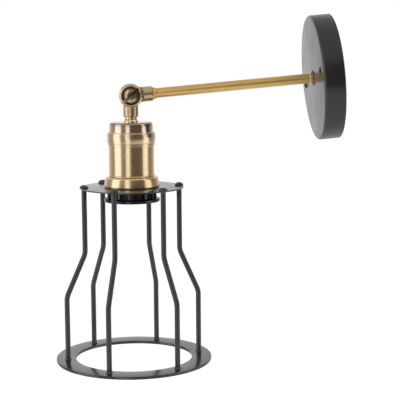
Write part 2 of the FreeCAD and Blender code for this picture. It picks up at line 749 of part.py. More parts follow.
def holder_body():
    """The body's tube, with one rolled bead just above the skirt."""
    bead_middle = SKIRT_TOP + BEAD_HEIGHT / 2 + SEAT_GAP
    return on_head(turned([
        (BODY_RADIUS - BODY_WALL, BODY_TOP),
        (BODY_RADIUS, BODY_TOP),
        (BODY_RADIUS, bead_middle + BEAD_HEIGHT / 2),
        (BODY_RADIUS + BEAD_RISE, bead_middle, BEAD_HEIGHT / 4),
        (BODY_RADIUS, bead_middle - BEAD_HEIGHT / 2),
        (BODY_RADIUS, BODY_FOOT),
        (BODY_RADIUS - BODY_WALL, BODY_FOOT),
    ]))


def holder_skirt():
    """The heavy foot ring that seats on the cage's plate."""
    foot = SKIRT_DIAMETER / 2
    return on_head(turned([
        (BODY_RADIUS + THREAD_GAP, SKIRT_TOP),
        (SKIRT_TOP_DIAMETER / 2, SKIRT_TOP, SKIRT_SHOULDER),
        (foot, PLATE_TOP + 2 * SKIRT_FOOT_EDGE),
        (foot, PLATE_TOP, SKIRT_FOOT_EDGE),
        (SLEEVE_RADIUS + THREAD_GAP, PLATE_TOP),
        (SLEEVE_RADIUS + THREAD_GAP, BODY_FOOT),
        (BODY_RADIUS + THREAD_GAP, BODY_FOOT),
    ]))


def holder_core():
    """The insulating core: a waisted top for the terminals and a sleeve round the socket."""
    core_radius = CORE_DIAMETER / 2
    shoulder = CORE_TOP - CORE_SHOULDER_HEIGHT
    shell_seat = SHELL_RADIUS + THREAD_GAP
    core = turned([
        (0, CORE_TOP),
        (core_radius, CORE_TOP),
        (core_radius, shoulder),
        (SLEEVE_RADIUS, shoulder, 1),
        (SLEEVE_RADIUS, SLEEVE_END),
        (shell_seat + SHELL_RECESS, SLEEVE_END),
        (shell_seat, SHELL_MOUTH),
        (shell_seat, SOCKET_FLOOR),
        (SHELL_FLOOR_HOLE / 2, SOCKET_FLOOR),
        (SHELL_FLOOR_HOLE / 2, WELL_TOP),
        (0, WELL_TOP),
    ])
    half = TERMINAL_SIZE / 2 + SEAT_GAP
    for x in both_sides(TERMINAL_SPACING):
        core = core.cut(box((x - half, -half, TERMINAL_FOOT), (x + half, half, CORE_TOP + 1)))
    return on_head(core)


def screw_shell():
    """The threaded socket shell, with an inward floor round the centre contact."""
    inner = SOCKET_BORE / 2
    return on_head(turned([
        (inner, SHELL_MOUTH),
        (SHELL_RADIUS, SHELL_MOUTH),
        (SHELL_RADIUS, SOCKET_FLOOR),
        (SHELL_FLOOR_HOLE / 2, SOCKET_FLOOR),
        (SHELL_FLOOR_HOLE / 2, SOCKET_FLOOR - SHELL_WALL),
        (inner, SOCKET_FLOOR - SHELL_WALL),
    ]))


def centre_contact():
    """A sprung strip in the core's well, bent down to meet the lamp's tip."""
    half, thick = CONTACT_LENGTH / 2, CONTACT_THICKNESS
    tip = SOCKET_FLOOR
    bend = thick * 1.5
    strip = outline([
        (-half, WELL_TOP),
        (0, WELL_TOP, bend + thick),
        (half * 0.6, tip, bend),
        (half, tip),
        (half, tip - thick),
        (half * 0.45, tip - thick, bend + thick),
        (-half * 0.15, WELL_TOP - thick, bend),
        (-half, WELL_TOP - thick),
    ])
    contact = Part.Face(strip).extrude(Vector(0, CONTACT_WIDTH, 0))
    return on_head(moved(contact, 0, -CONTACT_WIDTH / 2, 0))


def terminals():
    """Two brass posts on the core, each drilled for its lead."""
    half = TERMINAL_SIZE / 2
    posts = []
    for x in both_sides(TERMINAL_SPACING):
        post = box((x - half, -half, TERMINAL_FOOT), (x + half, half, TERMINAL_TOP))
        post = post.cut(moved(round_bar(LEAD_DIAMETER + 2 * LEAD_GAP, TERMINAL_FOOT + 1, 0), x, 0, 0))
        side_hole = Part.makeCylinder(
            TERMINAL_SCREW_DIAMETER / 2 + THREAD_GAP, half, Vector(x, 0, terminal_screw_height()), Y_AXIS)
        posts.append(post.cut(side_hole))
    return on_head(Part.makeCompound(posts))


def terminal_screw_height():
    return CORE_TOP + TERMINAL_SCREW_HEAD / 2 + SEAT_GAP


def terminal_screws():
    reach = TERMINAL_SIZE / 2 - LEAD_DIAMETER / 2 - LEAD_GAP
    one = screw(TERMINAL_SCREW_HEAD, TERMINAL_SCREW_HEAD_HEIGHT, TERMINAL_SCREW_DIAMETER, reach)
    one = turned_by(one, X_AXIS, -90)
    places = both_sides(TERMINAL_SPACING)
    head_seat = TERMINAL_SIZE / 2
    return on_head(Part.makeCompound([moved(one, x, head_seat, terminal_screw_height()) for x in places]))


def head_leads():
    """Two leads down the nipple, spread to the terminals."""
    leads = []
    for side in (-1, 1):
        inside, outside = side * LEAD_PITCH / 2, side * TERMINAL_SPACING / 2
        spread_top = NIPPLE_FOOT - HEAD_LEAD_BEND / 2
        leads.append(bent_rod([
            (inside, 0, NIPPLE_TOP),
            (inside, 0, spread_top),
            (outside, 0, TERMINAL_TOP + HEAD_LEAD_BEND / 2),
            (outside, 0, TERMINAL_FOOT + 2),
        ], HEAD_LEAD_BEND, LEAD_DIAMETER))
    return on_head(Part.makeCompound(leads))


# ---- shade ring and cage ----
def shade_ring():
    """The ribbed ring nut below the plate, with a broad flange at its foot."""
    bore = SLEEVE_RADIUS + THREAD_GAP
    flange_top = PLATE_FOOT - RING_GRIP_HEIGHT
    flange_foot = flange_top - RING_FLANGE_HEIGHT
    ring = turned([
        (bore, PLATE_FOOT),
        (RING_GRIP_DIAMETER / 2, PLATE_FOOT),
        (RING_GRIP_DIAMETER / 2, flange_top),
        (RING_FLANGE_DIAMETER / 2, flange_top, RING_EDGE),
        (RING_FLANGE_DIAMETER / 2, flange_foot, RING_EDGE),
        (bore, flange_foot),
    ])
    inset = (bore + RING_GRIP_DIAMETER / 2) / 2
    rib = box(
        (inset, -RING_RIB_WIDTH / 2, flange_top - RING_FLANGE_HEIGHT / 4),
        (RING_RIB_DIAMETER / 2, RING_RIB_WIDTH / 2, PLATE_FOOT - SEAT_GAP),
    )
    step = 360 / RING_RIB_COUNT
    return on_head(ring.fuse([turned_by(rib, Z_AXIS, i * step) for i in range(RING_RIB_COUNT)]).removeSplitter())


def wire_angles():
    return [90 + WIRE_TURN + i * 360 / WIRE_COUNT for i in range(WIRE_COUNT)]


def cage_plate():
    """The cage's top plate, bored for the holder's sleeve and for each wire's tenon."""
    plate = turned([
        (SLEEVE_RADIUS + HOLE_GAP, PLATE_FOOT),
        (PLATE_DIAMETER / 2, PLATE_FOOT),
        (PLATE_DIAMETER / 2, PLATE_TOP),
        (SLEEVE_RADIUS + HOLE_GAP, PLATE_TOP),
    ])
    hole = round_bar(WIRE_TENON_DIAMETER + 2 * THREAD_GAP, PLATE_FOOT - 1, PLATE_TOP + 1)
    hole = moved(hole, TOP_WIRE_CIRCLE / 2, 0, 0)
    return on_head(plate.cut([turned_by(hole, Z_AXIS, angle) for angle in wire_angles()]))


def cage_wire(angle):
    """A bent wire: riveted tenon and head above the plate, a welded foot on the ring."""
    top, foot = TOP_WIRE_CIRCLE / 2, FOOT_WIRE_CIRCLE / 2
    rod = bent_rod([
        (top, 0, PLATE_FOOT),
        (top, 0, PLATE_TOP - UPPER_RUN),
        (foot, 0, PLATE_TOP - UPPER_RUN - SLANT_HEIGHT),
        (foot, 0, RING_TOP),
    ], WIRE_BEND_RADIUS, WIRE_DIAMETER)
    tenon = round_bar(WIRE_TENON_DIAMETER, PLATE_FOOT - 1, PLATE_TOP + 1)
    head = dome(WIRE_HEAD_DIAMETER, WIRE_HEAD_HEIGHT, PLATE_TOP)
    weld = Part.makeCone(WELD_DIAMETER / 2, WIRE_DIAMETER / 2, WELD_HEIGHT, Vector(foot, 0, RING_TOP))
    wire = rod.fuse([moved(tenon, top, 0, 0), moved(head, top, 0, 0), weld]).removeSplitter()
    return on_head(turned_by(wire, Z_AXIS, angle))


def cage_ring():
    return on_head(turned([
        (FOOT_RING_BORE / 2, RING_TOP - FOOT_RING_THICKNESS),
        (FOOT_RING_DIAMETER / 2, RING_TOP - FOOT_RING_THICKNESS, FOOT_RING_EDGE),
        (FOOT_RING_DIAMETER / 2, RING_TOP, FOOT_RING_EDGE),
        (FOOT_RING_BORE / 2, RING_TOP),
    ]))


# ---- the whole light ----
def pieces():
    made = {
        "canopy": canopy(),
        "wall_bracket": wall_bracket(),
        "canopy_screws": canopy_screws(),
        "earth_screw": earth_screw(),
        "terminal_block": terminal_block(),
        "block_screws": block_screws(),
        "live_lead": live_lead(),
        "neutral_lead": neutral_lead(),
        "earth_lead": earth_lead(),
        "arm_tube": arm_tube(),
        "root_washer": root_washer(),
        "root_collar": root_collar(),
        "lock_washer": lock_washer(),
        "canopy_nut": canopy_nut(),
        "tube_lock_nut": tube_lock_nut(),
        "knuckle_arm_half": knuckle_arm_half(),
        "knuckle_lamp_half": knuckle_lamp_half(),
        "knuckle_screw": knuckle_screw(),
        "knuckle_nut": knuckle_nut(),
        "friction_washer": friction_washer(),
        "neck_collar": neck_collar(),
        "neck_nipple": neck_nipple(),
        "holder_nut": holder_nut(),
        "holder_cap": holder_cap(),
        "holder_band": holder_band(),
        "holder_body": holder_body(),
        "holder_skirt": holder_skirt(),
        "holder_core": holder_core(),
        "screw_shell": screw_shell(),
        "centre_contact": centre_contact(),
        "terminals": terminals(),
        "terminal_screws": terminal_screws(),
        "head_leads": head_leads(),
        "shade_ring": shade_ring(),
        "cage_plate": cage_plate(),
        "cage_ring": cage_ring(),
    }
    for number, angle in enumerate(wire_angles(), start=1):
        made["cage_wire_%d" % number] = cage_wire(angle)
    return made


os.makedirs("parts", exist_ok=True)
for name, shape in pieces().items():
    shape.exportStep("parts/%s.step" % name)
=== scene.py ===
import json
import math

import bmesh
import bpy
from bpy.props import FloatProperty, FloatVectorProperty, IntProperty, PointerProperty
from mathutils import Matrix, Vector
from mathutils.bvhtree import BVHTree

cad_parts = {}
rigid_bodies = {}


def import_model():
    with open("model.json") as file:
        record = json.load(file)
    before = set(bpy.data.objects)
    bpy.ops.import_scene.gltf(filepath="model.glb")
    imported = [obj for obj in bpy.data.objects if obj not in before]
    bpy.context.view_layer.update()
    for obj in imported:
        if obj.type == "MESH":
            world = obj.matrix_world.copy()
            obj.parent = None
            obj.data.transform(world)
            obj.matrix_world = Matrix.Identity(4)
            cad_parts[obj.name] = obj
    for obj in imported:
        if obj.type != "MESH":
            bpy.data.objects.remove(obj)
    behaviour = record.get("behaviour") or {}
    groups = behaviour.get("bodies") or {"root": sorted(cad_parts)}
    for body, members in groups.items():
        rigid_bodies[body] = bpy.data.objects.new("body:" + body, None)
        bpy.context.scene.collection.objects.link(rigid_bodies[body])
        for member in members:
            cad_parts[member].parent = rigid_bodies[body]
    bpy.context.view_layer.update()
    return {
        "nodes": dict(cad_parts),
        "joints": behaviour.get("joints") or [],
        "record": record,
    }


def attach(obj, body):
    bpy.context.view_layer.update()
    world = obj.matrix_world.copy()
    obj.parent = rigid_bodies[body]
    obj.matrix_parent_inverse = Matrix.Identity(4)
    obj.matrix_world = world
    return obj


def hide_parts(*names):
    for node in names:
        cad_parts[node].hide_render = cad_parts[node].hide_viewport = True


bl_info = {
    "name": "Cage Wall Light",
    "version": (1, 0, 0),
    "blender": (4, 5, 0),
    "location": "View3D > Sidebar > Cage Light",
    "description": "Builds the finished pieces of a wall light with a wire cage round its frame",
    "category": "Add Mesh",
}

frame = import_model()

# ---- places that come from the frame ----
HINGE = frame["joints"][0]
PIVOT = Vector(HINGE["pos_m"])
SOCKET = next(m for m in frame["record"]["mounts"] if m["name"] == "lamp_socket")
LAMP_LEAN = math.atan2(-SOCKET["axis"][1], -SOCKET["axis"][2])
BRACKET_TURN = math.radians(11.0)

MM = 0.001
FULL_TURN = 2 * math.pi
ON_ARM = Matrix.Rotation(math.pi / 2, 4, "X")
ON_STRAP = ON_ARM @ Matrix.Rotation(BRACKET_TURN, 4, "Z")
ON_HEAD = Matrix.Translation(PIVOT) @ Matrix.Rotation(-LAMP_LEAN, 4, "X")
ON_HINGE = Matrix.Translation(PIVOT) @ Matrix.Rotation(math.pi / 2, 4, "Y")
ARM_BODY = HINGE["parent"]
HEAD_BODY = HINGE["child"]


# ---- sizes and colours ----
def size(name, millimetres, description):
    return FloatProperty(
        name=name, description=description, default=millimetres * MM, unit="LENGTH", subtype="DISTANCE")


def colour(name, red, green, blue, description):
    return FloatVectorProperty(
        name=name, description=description, default=(red, green, blue), min=0.0, max=1.0,
        size=3, subtype="COLOR")


class CanopySizes(bpy.types.PropertyGroup):
    diameter: size("Diameter", 120.0, "Outside of the canopy")
    depth: size("Depth", 20.0, "Canopy face from the wall")
    wall: size("Wall", 1.5, "Thickness of the pressed sheet")
    edge: size("Edge", 2.2, "Rounding of the front edge")
    screw_spacing: size("Screw spacing", 86.4, "Between the two face screws")
    screw_head: size("Screw head", 6.4, "Width of a face screw's head")
    screw_head_height: size("Screw head height", 1.3, "Height of a face screw's head")
    screw_shank: size("Screw shank", 4.0, "Thickness of a face screw")


class ArmSizes(bpy.types.PropertyGroup):
    tube: size("Tube", 9.5, "Outside of the arm tube")
    tube_wall: size("Tube wall", 1.0, "Thickness of the tube's wall")
    tube_start: size("Tube start", 12.0, "Inner end of the tube from the wall")
    tube_end: size("Tube end", 183.2, "Outer end of the tube from the wall")
    washer: size("Root washer", 14.2, "Outside of the dark bronze washer at the root")
    washer_thickness: size("Root washer thickness", 1.4, "Thickness of that washer")
    collar: size("Root collar", 11.0, "Outside of the brass collar at the root")
    collar_thickness: size("Root collar thickness", 1.8, "Thickness of that collar")
    lock_nut: size("Lock nut", 11.2, "Across the flats of the nut at the knuckle")
    lock_nut_height: size("Lock nut height", 2.6, "Thickness of that nut")
    barrel_end: size("Barrel end", 175.7, "Knuckle barrel's end from the wall")


class KnuckleSizes(bpy.types.PropertyGroup):
    half_width: size("Half width", 7.4, "Hinge middle to an eye's outer face")
    head: size("Screw head", 20.2, "Outside of the broad slotted head")
    head_height: size("Head height", 2.8, "Height of the head")
    head_edge: size("Head edge", 0.9, "Rounding of the head's rim")
    groove: size("Groove", 17.2, "Outside of the groove in the head")
    groove_width: size("Groove width", 1.5, "Width of the groove")
    groove_depth: size("Groove depth", 1.2, "Depth of the groove")
    dome: size("Dome", 0.9, "Rise of the head's middle")
    slot_width: size("Slot width", 2.6, "Width of the screwdriver slot")
    slot_depth: size("Slot depth", 1.5, "Depth of the slot")
    slot_turn: FloatProperty(
        name="Slot turn", description="Turn of the slot about the hinge",
        default=math.radians(127.5), subtype="ANGLE")
    shank: size("Shank", 6.0, "Thickness of the hinge screw")
    nut: size("Nut", 11.0, "Across the flats of the nut behind")
    nut_height: size("Nut height", 3.2, "Thickness of that nut")
    shank_end: size("Shank end", 1.4, "Shank that shows past the nut")


class HolderSizes(bpy.types.PropertyGroup):
    """Heights are below the pivot, along the lamp's own line."""

    stem_end: size("Stem end", 20.5, "Foot of the knuckle's stem")
    cap_top: size("Cap top", 25.3, "Top of the cap")
    band_top: size("Band top", 34.9, "Top of the ring nut")
    band_foot: size("Band foot", 45.1, "Foot of the ring nut's barrel")
    lip_foot: size("Lip foot", 47.9, "Foot of the ring nut's lip")
    skirt_top: size("Skirt top", 77.6, "Top of the skirt")
    plate_top: size("Plate top", 87.9, "Top of the cage's plate")
    neck_waist: size("Neck waist", 11.6, "Narrow part of the neck")
    neck_foot: size("Neck foot", 13.6, "Foot of the neck")
    nipple: size("Nipple", 10.1, "Bore for the threaded nipple")
    cap: size("Cap", 42.4, "Outside of the cap")
    cap_shoulder: size("Cap shoulder", 3.4, "Rounding of the cap's shoulder")
    band: size("Band", 46.8, "Outside of the ring nut")
    lip: size("Lip", 44.9, "Outside of the ring nut's lip")
    body: size("Body", 43.6, "Outside of the body")
    bead: size("Bead", 0.7, "Rise of the rolled bead")
    skirt_shoulder_width: size("Skirt shoulder width", 50.4, "Skirt at its top")
    skirt: size("Skirt", 53.4, "Skirt at its foot")
    skirt_shoulder: size("Skirt shoulder", 2.2, "Rounding of the skirt's shoulder")
    sleeve: size("Sleeve", 39.5, "Bore over the core's sleeve")
    socket_bore: size("Socket bore", 26.6, "Screw shell at the thread's root")
    shell_mouth: size("Shell mouth", 99.7, "Mouth of the screw shell")
    shell_floor: size("Shell floor", 78.9, "Floor of the screw shell")
    thread_pitch: size("Thread pitch", 3.63, "Pitch of the lamp thread")
    thread_depth: size("Thread depth", 0.45, "Height of the rolled thread")


class CageSizes(bpy.types.PropertyGroup):
    """Heights are below the pivot, along the lamp's own line."""

    grip: size("Ring grip", 43.4, "Shade ring between its ribs")
    rib: size("Ring ribs", 47.6, "Shade ring over its ribs")
    rib_count: IntProperty(name="Ribs", description="Ribs round the shade ring", default=24, min=6)
    rib_width: size("Rib width", 1.6, "Width of a rib")
    flange: size("Flange", 54.0, "Outside of the shade ring's flange")
    flange_top: size("Flange top", 98.7, "Top of the flange")
    flange_foot: size("Flange foot", 101.9, "Foot of the flange")
    plate: size("Plate", 100.0, "Outside of the top plate")
    plate_thickness: size("Plate thickness", 1.2, "Thickness of the top plate")
    wire: size("Wire", 5.0, "Thickness of a cage wire")
    wire_count: IntProperty(name="Wires", description="Wires round the cage", default=6, min=3)
    wire_turn: FloatProperty(
        name="Wire turn", description="Turn of the first wire about the lamp's line",
        default=math.radians(97.5), subtype="ANGLE")
    top_circle: size("Top circle", 93.0, "Circle of the wires at the plate")
    foot_circle: size("Foot circle", 130.0, "Circle of the wires at the ring")
    upper_run: size("Upper run", 63.8, "Straight wire below the plate")
    slant_height: size("Slant height", 41.9, "Height of the slanted stretch")
    bend: size("Bend", 18.0, "Bend radius of a wire's middle line")
    rivet: size("Rivet head", 8.8, "Width of a wire's head")
    rivet_height: size("Rivet head height", 3.1, "Height of a wire's head")
    weld: size("Weld", 7.0, "Width of the weld at a wire's foot")
    weld_height: size("Weld height", 1.6, "Height of that weld")
    ring_top: size("Ring top", 255.6, "Top of the bottom ring")
    ring_thickness: size("Ring thickness", 2.8, "Thickness of the bottom ring")
    ring: size("Ring", 152.0, "Outside of the bottom ring")
    ring_bore: size("Ring bore", 114.0, "Inside of the bottom ring")


class FinishColours(bpy.types.PropertyGroup):
    black_paint: colour("Black paint", 0.018, 0.018, 0.019, "Satin powder coat")
    paint_dust: colour("Paint specks", 0.11, 0.11, 0.11, "Dust and scuffs on the black paint")
    antique_brass: colour("Antique brass", 0.83, 0.66, 0.43, "Brushed face of the antique brass")
    # Darkened, this colour also paints shade on the knuckle screw's head and in its slot.
    antique_dark: colour("Antique patina", 0.20, 0.13, 0.075, "Darkened brass in lines and corners")
    knuckle_brass: colour("Knuckle brass", 0.70, 0.55, 0.345, "Tumbled face of the knuckle")
    bronze: colour("Bronze", 0.30, 0.245, 0.14, "Dark bronze of the washer at the arm's root")
    cage_black: colour("Cage black", 0.036, 0.036, 0.037, "Powder coat of the cage")
    cap_brass: colour("Cap brass", 0.76, 0.655, 0.52, "Smoother and darker brass of the cap")
    # Darkened, this colour also paints the dark reflection on the cap's top and shoulder.
    cap_dark: colour("Cap patina", 0.17, 0.105, 0.10, "Purple-brown patina of the cap")
    golden_brass: colour("Golden brass", 0.86, 0.58, 0.22, "Lacquered tube of the arm")
    golden_dark: colour("Golden shade", 0.55, 0.32, 0.10, "Darker streaks of the tube")
    bright_brass: colour("Bright brass", 0.93, 0.76, 0.45, "Newly turned brass")
    zinc: colour("Zinc", 0.62, 0.63, 0.63, "Zinc plated steel")
    zinc_dark: colour("Zinc shade", 0.36, 0.37, 0.39, "Dull spangles of the zinc")
    black_plastic: colour("Black plastic", 0.020, 0.017, 0.022, "Moulded shade ring")
    white_plastic: colour("White plastic", 0.74, 0.73, 0.69, "Moulded terminal block")
    porcelain: colour("Porcelain", 0.78, 0.76, 0.71, "Unglazed core of the holder")
    fibre: colour("Fibre", 0.10, 0.065, 0.05, "Pressed fibre washer")
    brown_lead: colour("Brown lead", 0.15, 0.055, 0.025, "Insulation of the live leads")
    blue_lead: colour("Blue lead", 0.03, 0.12, 0.42, "Insulation of the neutral lead")
    green_lead: colour("Green lead", 0.10, 0.36, 0.06, "Insulation of the earth lead")
    yellow_lead: colour("Yellow stripe", 0.75, 0.62, 0.05, "Stripe of the earth lead")


class StageSettings(bpy.types.PropertyGroup):
    camera_place: FloatVectorProperty(
        name="Camera place", description="Where the photograph was taken from",
        default=(1.12596, -0.22009, 0.05024), size=3, unit="LENGTH", subtype="TRANSLATION")
    camera_turn: FloatVectorProperty(
        name="Camera turn", description="Turn of the camera about X, Y and Z",
        default=(math.radians(82.0165), math.radians(5.2585), math.radians(85.1909)),
        size=3, subtype="EULER")
    focal_share: FloatProperty(
        name="Focal length", description="Focal length as a share of the picture's width",
        default=2.92615, min=0.5)
    floor_height: size("Floor height", -900.0, "Height of the pale floor")
    floor_size: size("Floor size", 14000.0, "Width of the pale floor")
    floor_colour: colour("Floor colour", 0.86, 0.86, 0.86, "The pale floor")
    floor_glow: FloatProperty(
        name="Floor glow", description="How much brighter the floor is seen than it is lit",
        default=0.62, min=0.0)
    sky_level: FloatProperty(
        name="Fill level", description="Even light from all round", default=0.42, min=0.0)
    room_colour: colour("Room colour", 1.0, 0.82, 0.62, "Tint of the dim room in reflections")
    ceiling_level: FloatProperty(
        name="Ceiling level", description="Brightness of the ceiling in reflections",
        default=0.6, min=0.0)


class CageLightSettings(bpy.types.PropertyGroup):
    canopy: PointerProperty(type=CanopySizes)
    arm: PointerProperty(type=ArmSizes)
    knuckle: PointerProperty(type=KnuckleSizes)
    holder: PointerProperty(type=HolderSizes)
    cage: PointerProperty(type=CageSizes)
    finish: PointerProperty(type=FinishColours)
    stage: PointerProperty(type=StageSettings)


def settings():
    return bpy.context.scene.cage_light


# ---- shapes that several pieces share ----
# Steps along a rounded corner, then round a wire, a rivet, a small screw, the tube, the holder,
# the plate and the widest pieces.
ARC_STEPS = 6
ROD_STEPS = 28
RIVET_STEPS = 40
SCREW_STEPS = 64
TUBE_STEPS = 96
TURN_STEPS = 144
PLATE_STEPS = 192
WIDE_STEPS = 256
SHARP_ANGLE = math.radians(32)
NUT_SHARP_ANGLE = math.radians(20)
BEVEL_ANGLE = math.radians(40)
# A radius that counts as none, and corners so near that they become one.
ON_AXIS = 1e-9
SAME_SPOT = 1e-8
# Clearance between two pieces that seat on each other, and a nut's flat end as a share of its flats.
FIT = 0.05 * MM
NUT_FACE = 0.97
# Wear and patina mark of a plain corner, the mark that paints shade in what a cutter leaves, and how near
# the cutter that is.
CORNER_WEAR = 0.6
CUT_SHADE = -0.8
CUT_REACH = 0.02 * MM


def eased(points):
    """A closed outline of (radius, height, mark) from corners; a third number rounds one.

    The mark is 1 on an outward corner's arc (rubbed wear), -1 in an inward corner's (dark patina), and 0
    on the flats.
    A fourth number sets it over the whole corner instead; the pieces give marks below 0 there to paint
    shade.
    """
    area = sum(
        points[i - 1][0] * point[1] - point[0] * points[i - 1][1] for i, point in enumerate(points))
    outline = []
    for i, point in enumerate(points):
        corner = Vector(point[:2])
        radius = point[2] if len(point) > 2 else 0.0
        back = Vector(points[i - 1][:2]) - corner
        onward = Vector(points[(i + 1) % len(points)][:2]) - corner
        turn = back.x * onward.y - back.y * onward.x
        outward = 1.0 if turn * area < 0 else -1.0
        mark = point[3] if len(point) > 3 else None
        if radius <= 0:
            outline.append((corner.x, corner.y, outward * CORNER_WEAR if mark is None else mark))
            continue
        room = 0.49 * min(back.length, onward.length)
        back.normalize()
        onward.normalize()
        half = back.angle(onward) / 2
        reach = min(radius / math.tan(half), room)
        radius = reach * math.tan(half)
        centre = corner + (back + onward).normalized() * (radius / math.sin(half))
        start = corner + back * reach - centre
        sweep = math.copysign(math.pi - 2 * half, -turn)
        for step in range(ARC_STEPS + 1):
            share = step / ARC_STEPS
            spoke = Matrix.Rotation(sweep * share, 2) @ start
            spot = centre + spoke
            wear_and_shade = outward * math.sin(math.pi * share) if mark is None else mark
            outline.append((spot.x, spot.y, wear_and_shade))
    return outline


def finish_mesh(mesh, sharp=SHARP_ANGLE):
    mesh.validate()
    for face in mesh.polygons:
        face.use_smooth = True
    mesh.set_sharp_from_angle(angle=sharp)
    mesh.update()
    return mesh


def raw_mesh(name, work):
    bmesh.ops.recalc_face_normals(work, faces=work.faces)
    mesh = bpy.data.meshes.new(name)
    work.to_mesh(mesh)
    work.free()
    return mesh


def made_mesh(name, work, sharp=SHARP_ANGLE):
    return finish_mesh(raw_mesh(name, work), sharp)


def around(radius, angle, height):
    return radius * math.cos(angle), radius * math.sin(angle), height


def skin(work, here, there):
    """Joins two closed rows of corners with faces."""
    for k in range(len(here)):
        n = (k + 1) % len(here)
        work.faces.new((here[k], here[n], there[n], there[k]))


def skin_closed(work, rings):
    """Joins a stack of rings and puts a flat face on each end."""
    for here, there in zip(rings, rings[1:]):
        skin(work, here, there)
    work.faces.new(rings[0])
    work.faces.new(rings[-1])


def turned(name, points, steps=TURN_STEPS):
    """A mesh of revolution about Z from an outline of (radius, height) corners."""
    outline = eased(points)
    work = bmesh.new()
    wear_and_shade = work.verts.layers.float.new("wear_and_shade")
    rings = []
    for step in range(steps):
        angle = FULL_TURN * step / steps
        ring = []
        for across, along, mark in outline:
            vert = work.verts.new(around(across, angle, along))
            vert[wear_and_shade] = mark
            ring.append(vert)
        rings.append(ring)
    count = len(outline)
    for step in range(steps):
        here, there = rings[step], rings[(step + 1) % steps]
        for i in range(count):
            j = (i + 1) % count
            if outline[i][0] > ON_AXIS or outline[j][0] > ON_AXIS:
                work.faces.new((here[i], there[i], there[j], here[j]))
    bmesh.ops.remove_doubles(work, verts=work.verts, dist=SAME_SPOT)
    bmesh.ops.dissolve_degenerate(work, edges=work.edges, dist=SAME_SPOT)
    return made_mesh(name, work)


def path_points(corners, bend):
    """Points along straight runs joined by arcs of one bend radius."""
    path = [Vector(corners[0])]
    for i in range(1, len(corners) - 1):
        corner = Vector(corners[i])
        back = (Vector(corners[i - 1]) - corner).normalized()
        onward = (Vector(corners[i + 1]) - corner).normalized()
        half = back.angle(onward) / 2
        centre = corner + (back + onward).normalized() * (bend / math.sin(half))
        start = corner + back * (bend / math.tan(half)) - centre
        axis = back.cross(onward).normalized()
        sweep = -(math.pi - 2 * half)
        for step in range(ARC_STEPS * 2 + 1):
            path.append(centre + Matrix.Rotation(sweep * step / (ARC_STEPS * 2), 3, axis) @ start)
    path.append(Vector(corners[-1]))
    return path


def swept_rod(work, path, radius, side, steps=ROD_STEPS):
    """Adds a closed round rod along a path that lies in the plane square to side."""
    rings = []
    for i, spot in enumerate(path):
        before, after = path[max(i - 1, 0)], path[min(i + 1, len(path) - 1)]
        across = (after - before).normalized().cross(side)
        rings.append([
            work.verts.new(spot + radius * (
                math.cos(FULL_TURN * k / steps) * across + math.sin(FULL_TURN * k / steps) * side))
            for k in range(steps)
        ])
    skin_closed(work, rings)


def add_turned(work, points, place, steps=RIVET_STEPS):
    """Adds a turned shape to a mesh that is being made."""
    part = turned("part", points, steps)
    part.transform(place)
    work.from_mesh(part)
    bpy.data.meshes.remove(part)


def plain_object(name, mesh):
    piece = bpy.data.objects.new(name, mesh)
    bpy.context.scene.collection.objects.link(piece)
    return piece


def cut_from(mesh, cutter, bevel=0.0):
    """The mesh with the cutter taken out of it, its sharp edges broken by bevel, and painted shade marked
    where it cut.
    """
    piece, tool = plain_object("blank", mesh), plain_object("cutter", cutter)
    taking = piece.modifiers.new("taking", "BOOLEAN")
    taking.operation = "DIFFERENCE"
    taking.solver = "EXACT"
    taking.object = tool
    if bevel:
        easing = piece.modifiers.new("easing", "BEVEL")
        easing.width = bevel
        easing.segments = 2
        easing.limit_method = "ANGLE"
        easing.angle_limit = BEVEL_ANGLE
    depsgraph = bpy.context.evaluated_depsgraph_get()
    result = bpy.data.meshes.new_from_object(piece.evaluated_get(depsgraph))
    result.name = mesh.name
    bpy.data.objects.remove(piece)
    bpy.data.objects.remove(tool)
    if not result.polygons:
        raise RuntimeError("nothing is left of " + mesh.name)
    shade_cut(result, cutter)
    return finish_mesh(result)


def shade_cut(mesh, cutter):
    """Paints shade: sets a dark mark on all that the cutter left behind."""
    near = BVHTree.FromPolygons(
        [vert.co for vert in cutter.vertices], [face.vertices for face in cutter.polygons])
    marks = mesh.attributes["wear_and_shade"].data
    for vert, mark in zip(mesh.vertices, marks):
        if near.find_nearest(vert.co)[3] < CUT_REACH:
            mark.value = CUT_SHADE


def slot_cutter(reach, width, low, turn):
    """A bar for a screwdriver slot across a head, open above."""
    work = bmesh.new()
    centre = Matrix.Translation((0, 0, low + reach / 2))
    scale = Matrix.Diagonal((2 * reach, width, reach, 1))
    bmesh.ops.create_cube(work, size=1.0, matrix=Matrix.Rotation(turn, 4, "Z") @ centre @ scale)
    return raw_mesh("cutter", work)


def hex_nut(name, flats, bore, low, high):
    """A hexagon nut on Z, with its corners chamfered and a plain bore."""
    corner = flats / math.sqrt(3)
    turn_back = (corner - flats / 2) / math.sqrt(3)
    work = bmesh.new()
    steps = TUBE_STEPS
    face = flats / 2 * NUT_FACE
    rows = ((bore, low), (face, low), (None, low), (None, high), (face, high), (bore, high))
    rings = []
    for step in range(steps):
        angle = FULL_TURN * step / steps
        near = (angle + math.pi / 6) % (math.pi / 3) - math.pi / 6
        edge = flats / 2 / math.cos(near + (math.pi / 6 if near < 0 else -math.pi / 6))
        drop = (edge - flats / 2) / (corner - flats / 2) * turn_back
        ring = []
        for across, along in rows:
            if across is None:
                spot = (edge, along + (drop if along == low else -drop))
            else:
                spot = (across, along)
            ring.append(work.verts.new(around(spot[0], angle, spot[1])))
        rings.append(ring)
    for step in range(steps):
        here, there = rings[step], rings[(step + 1) % steps]
        for i in range(len(rows)):
            j = (i + 1) % len(rows)
            work.faces.new((here[i], there[i], there[j], here[j]))
    return made_mesh(name, work, NUT_SHARP_ANGLE)


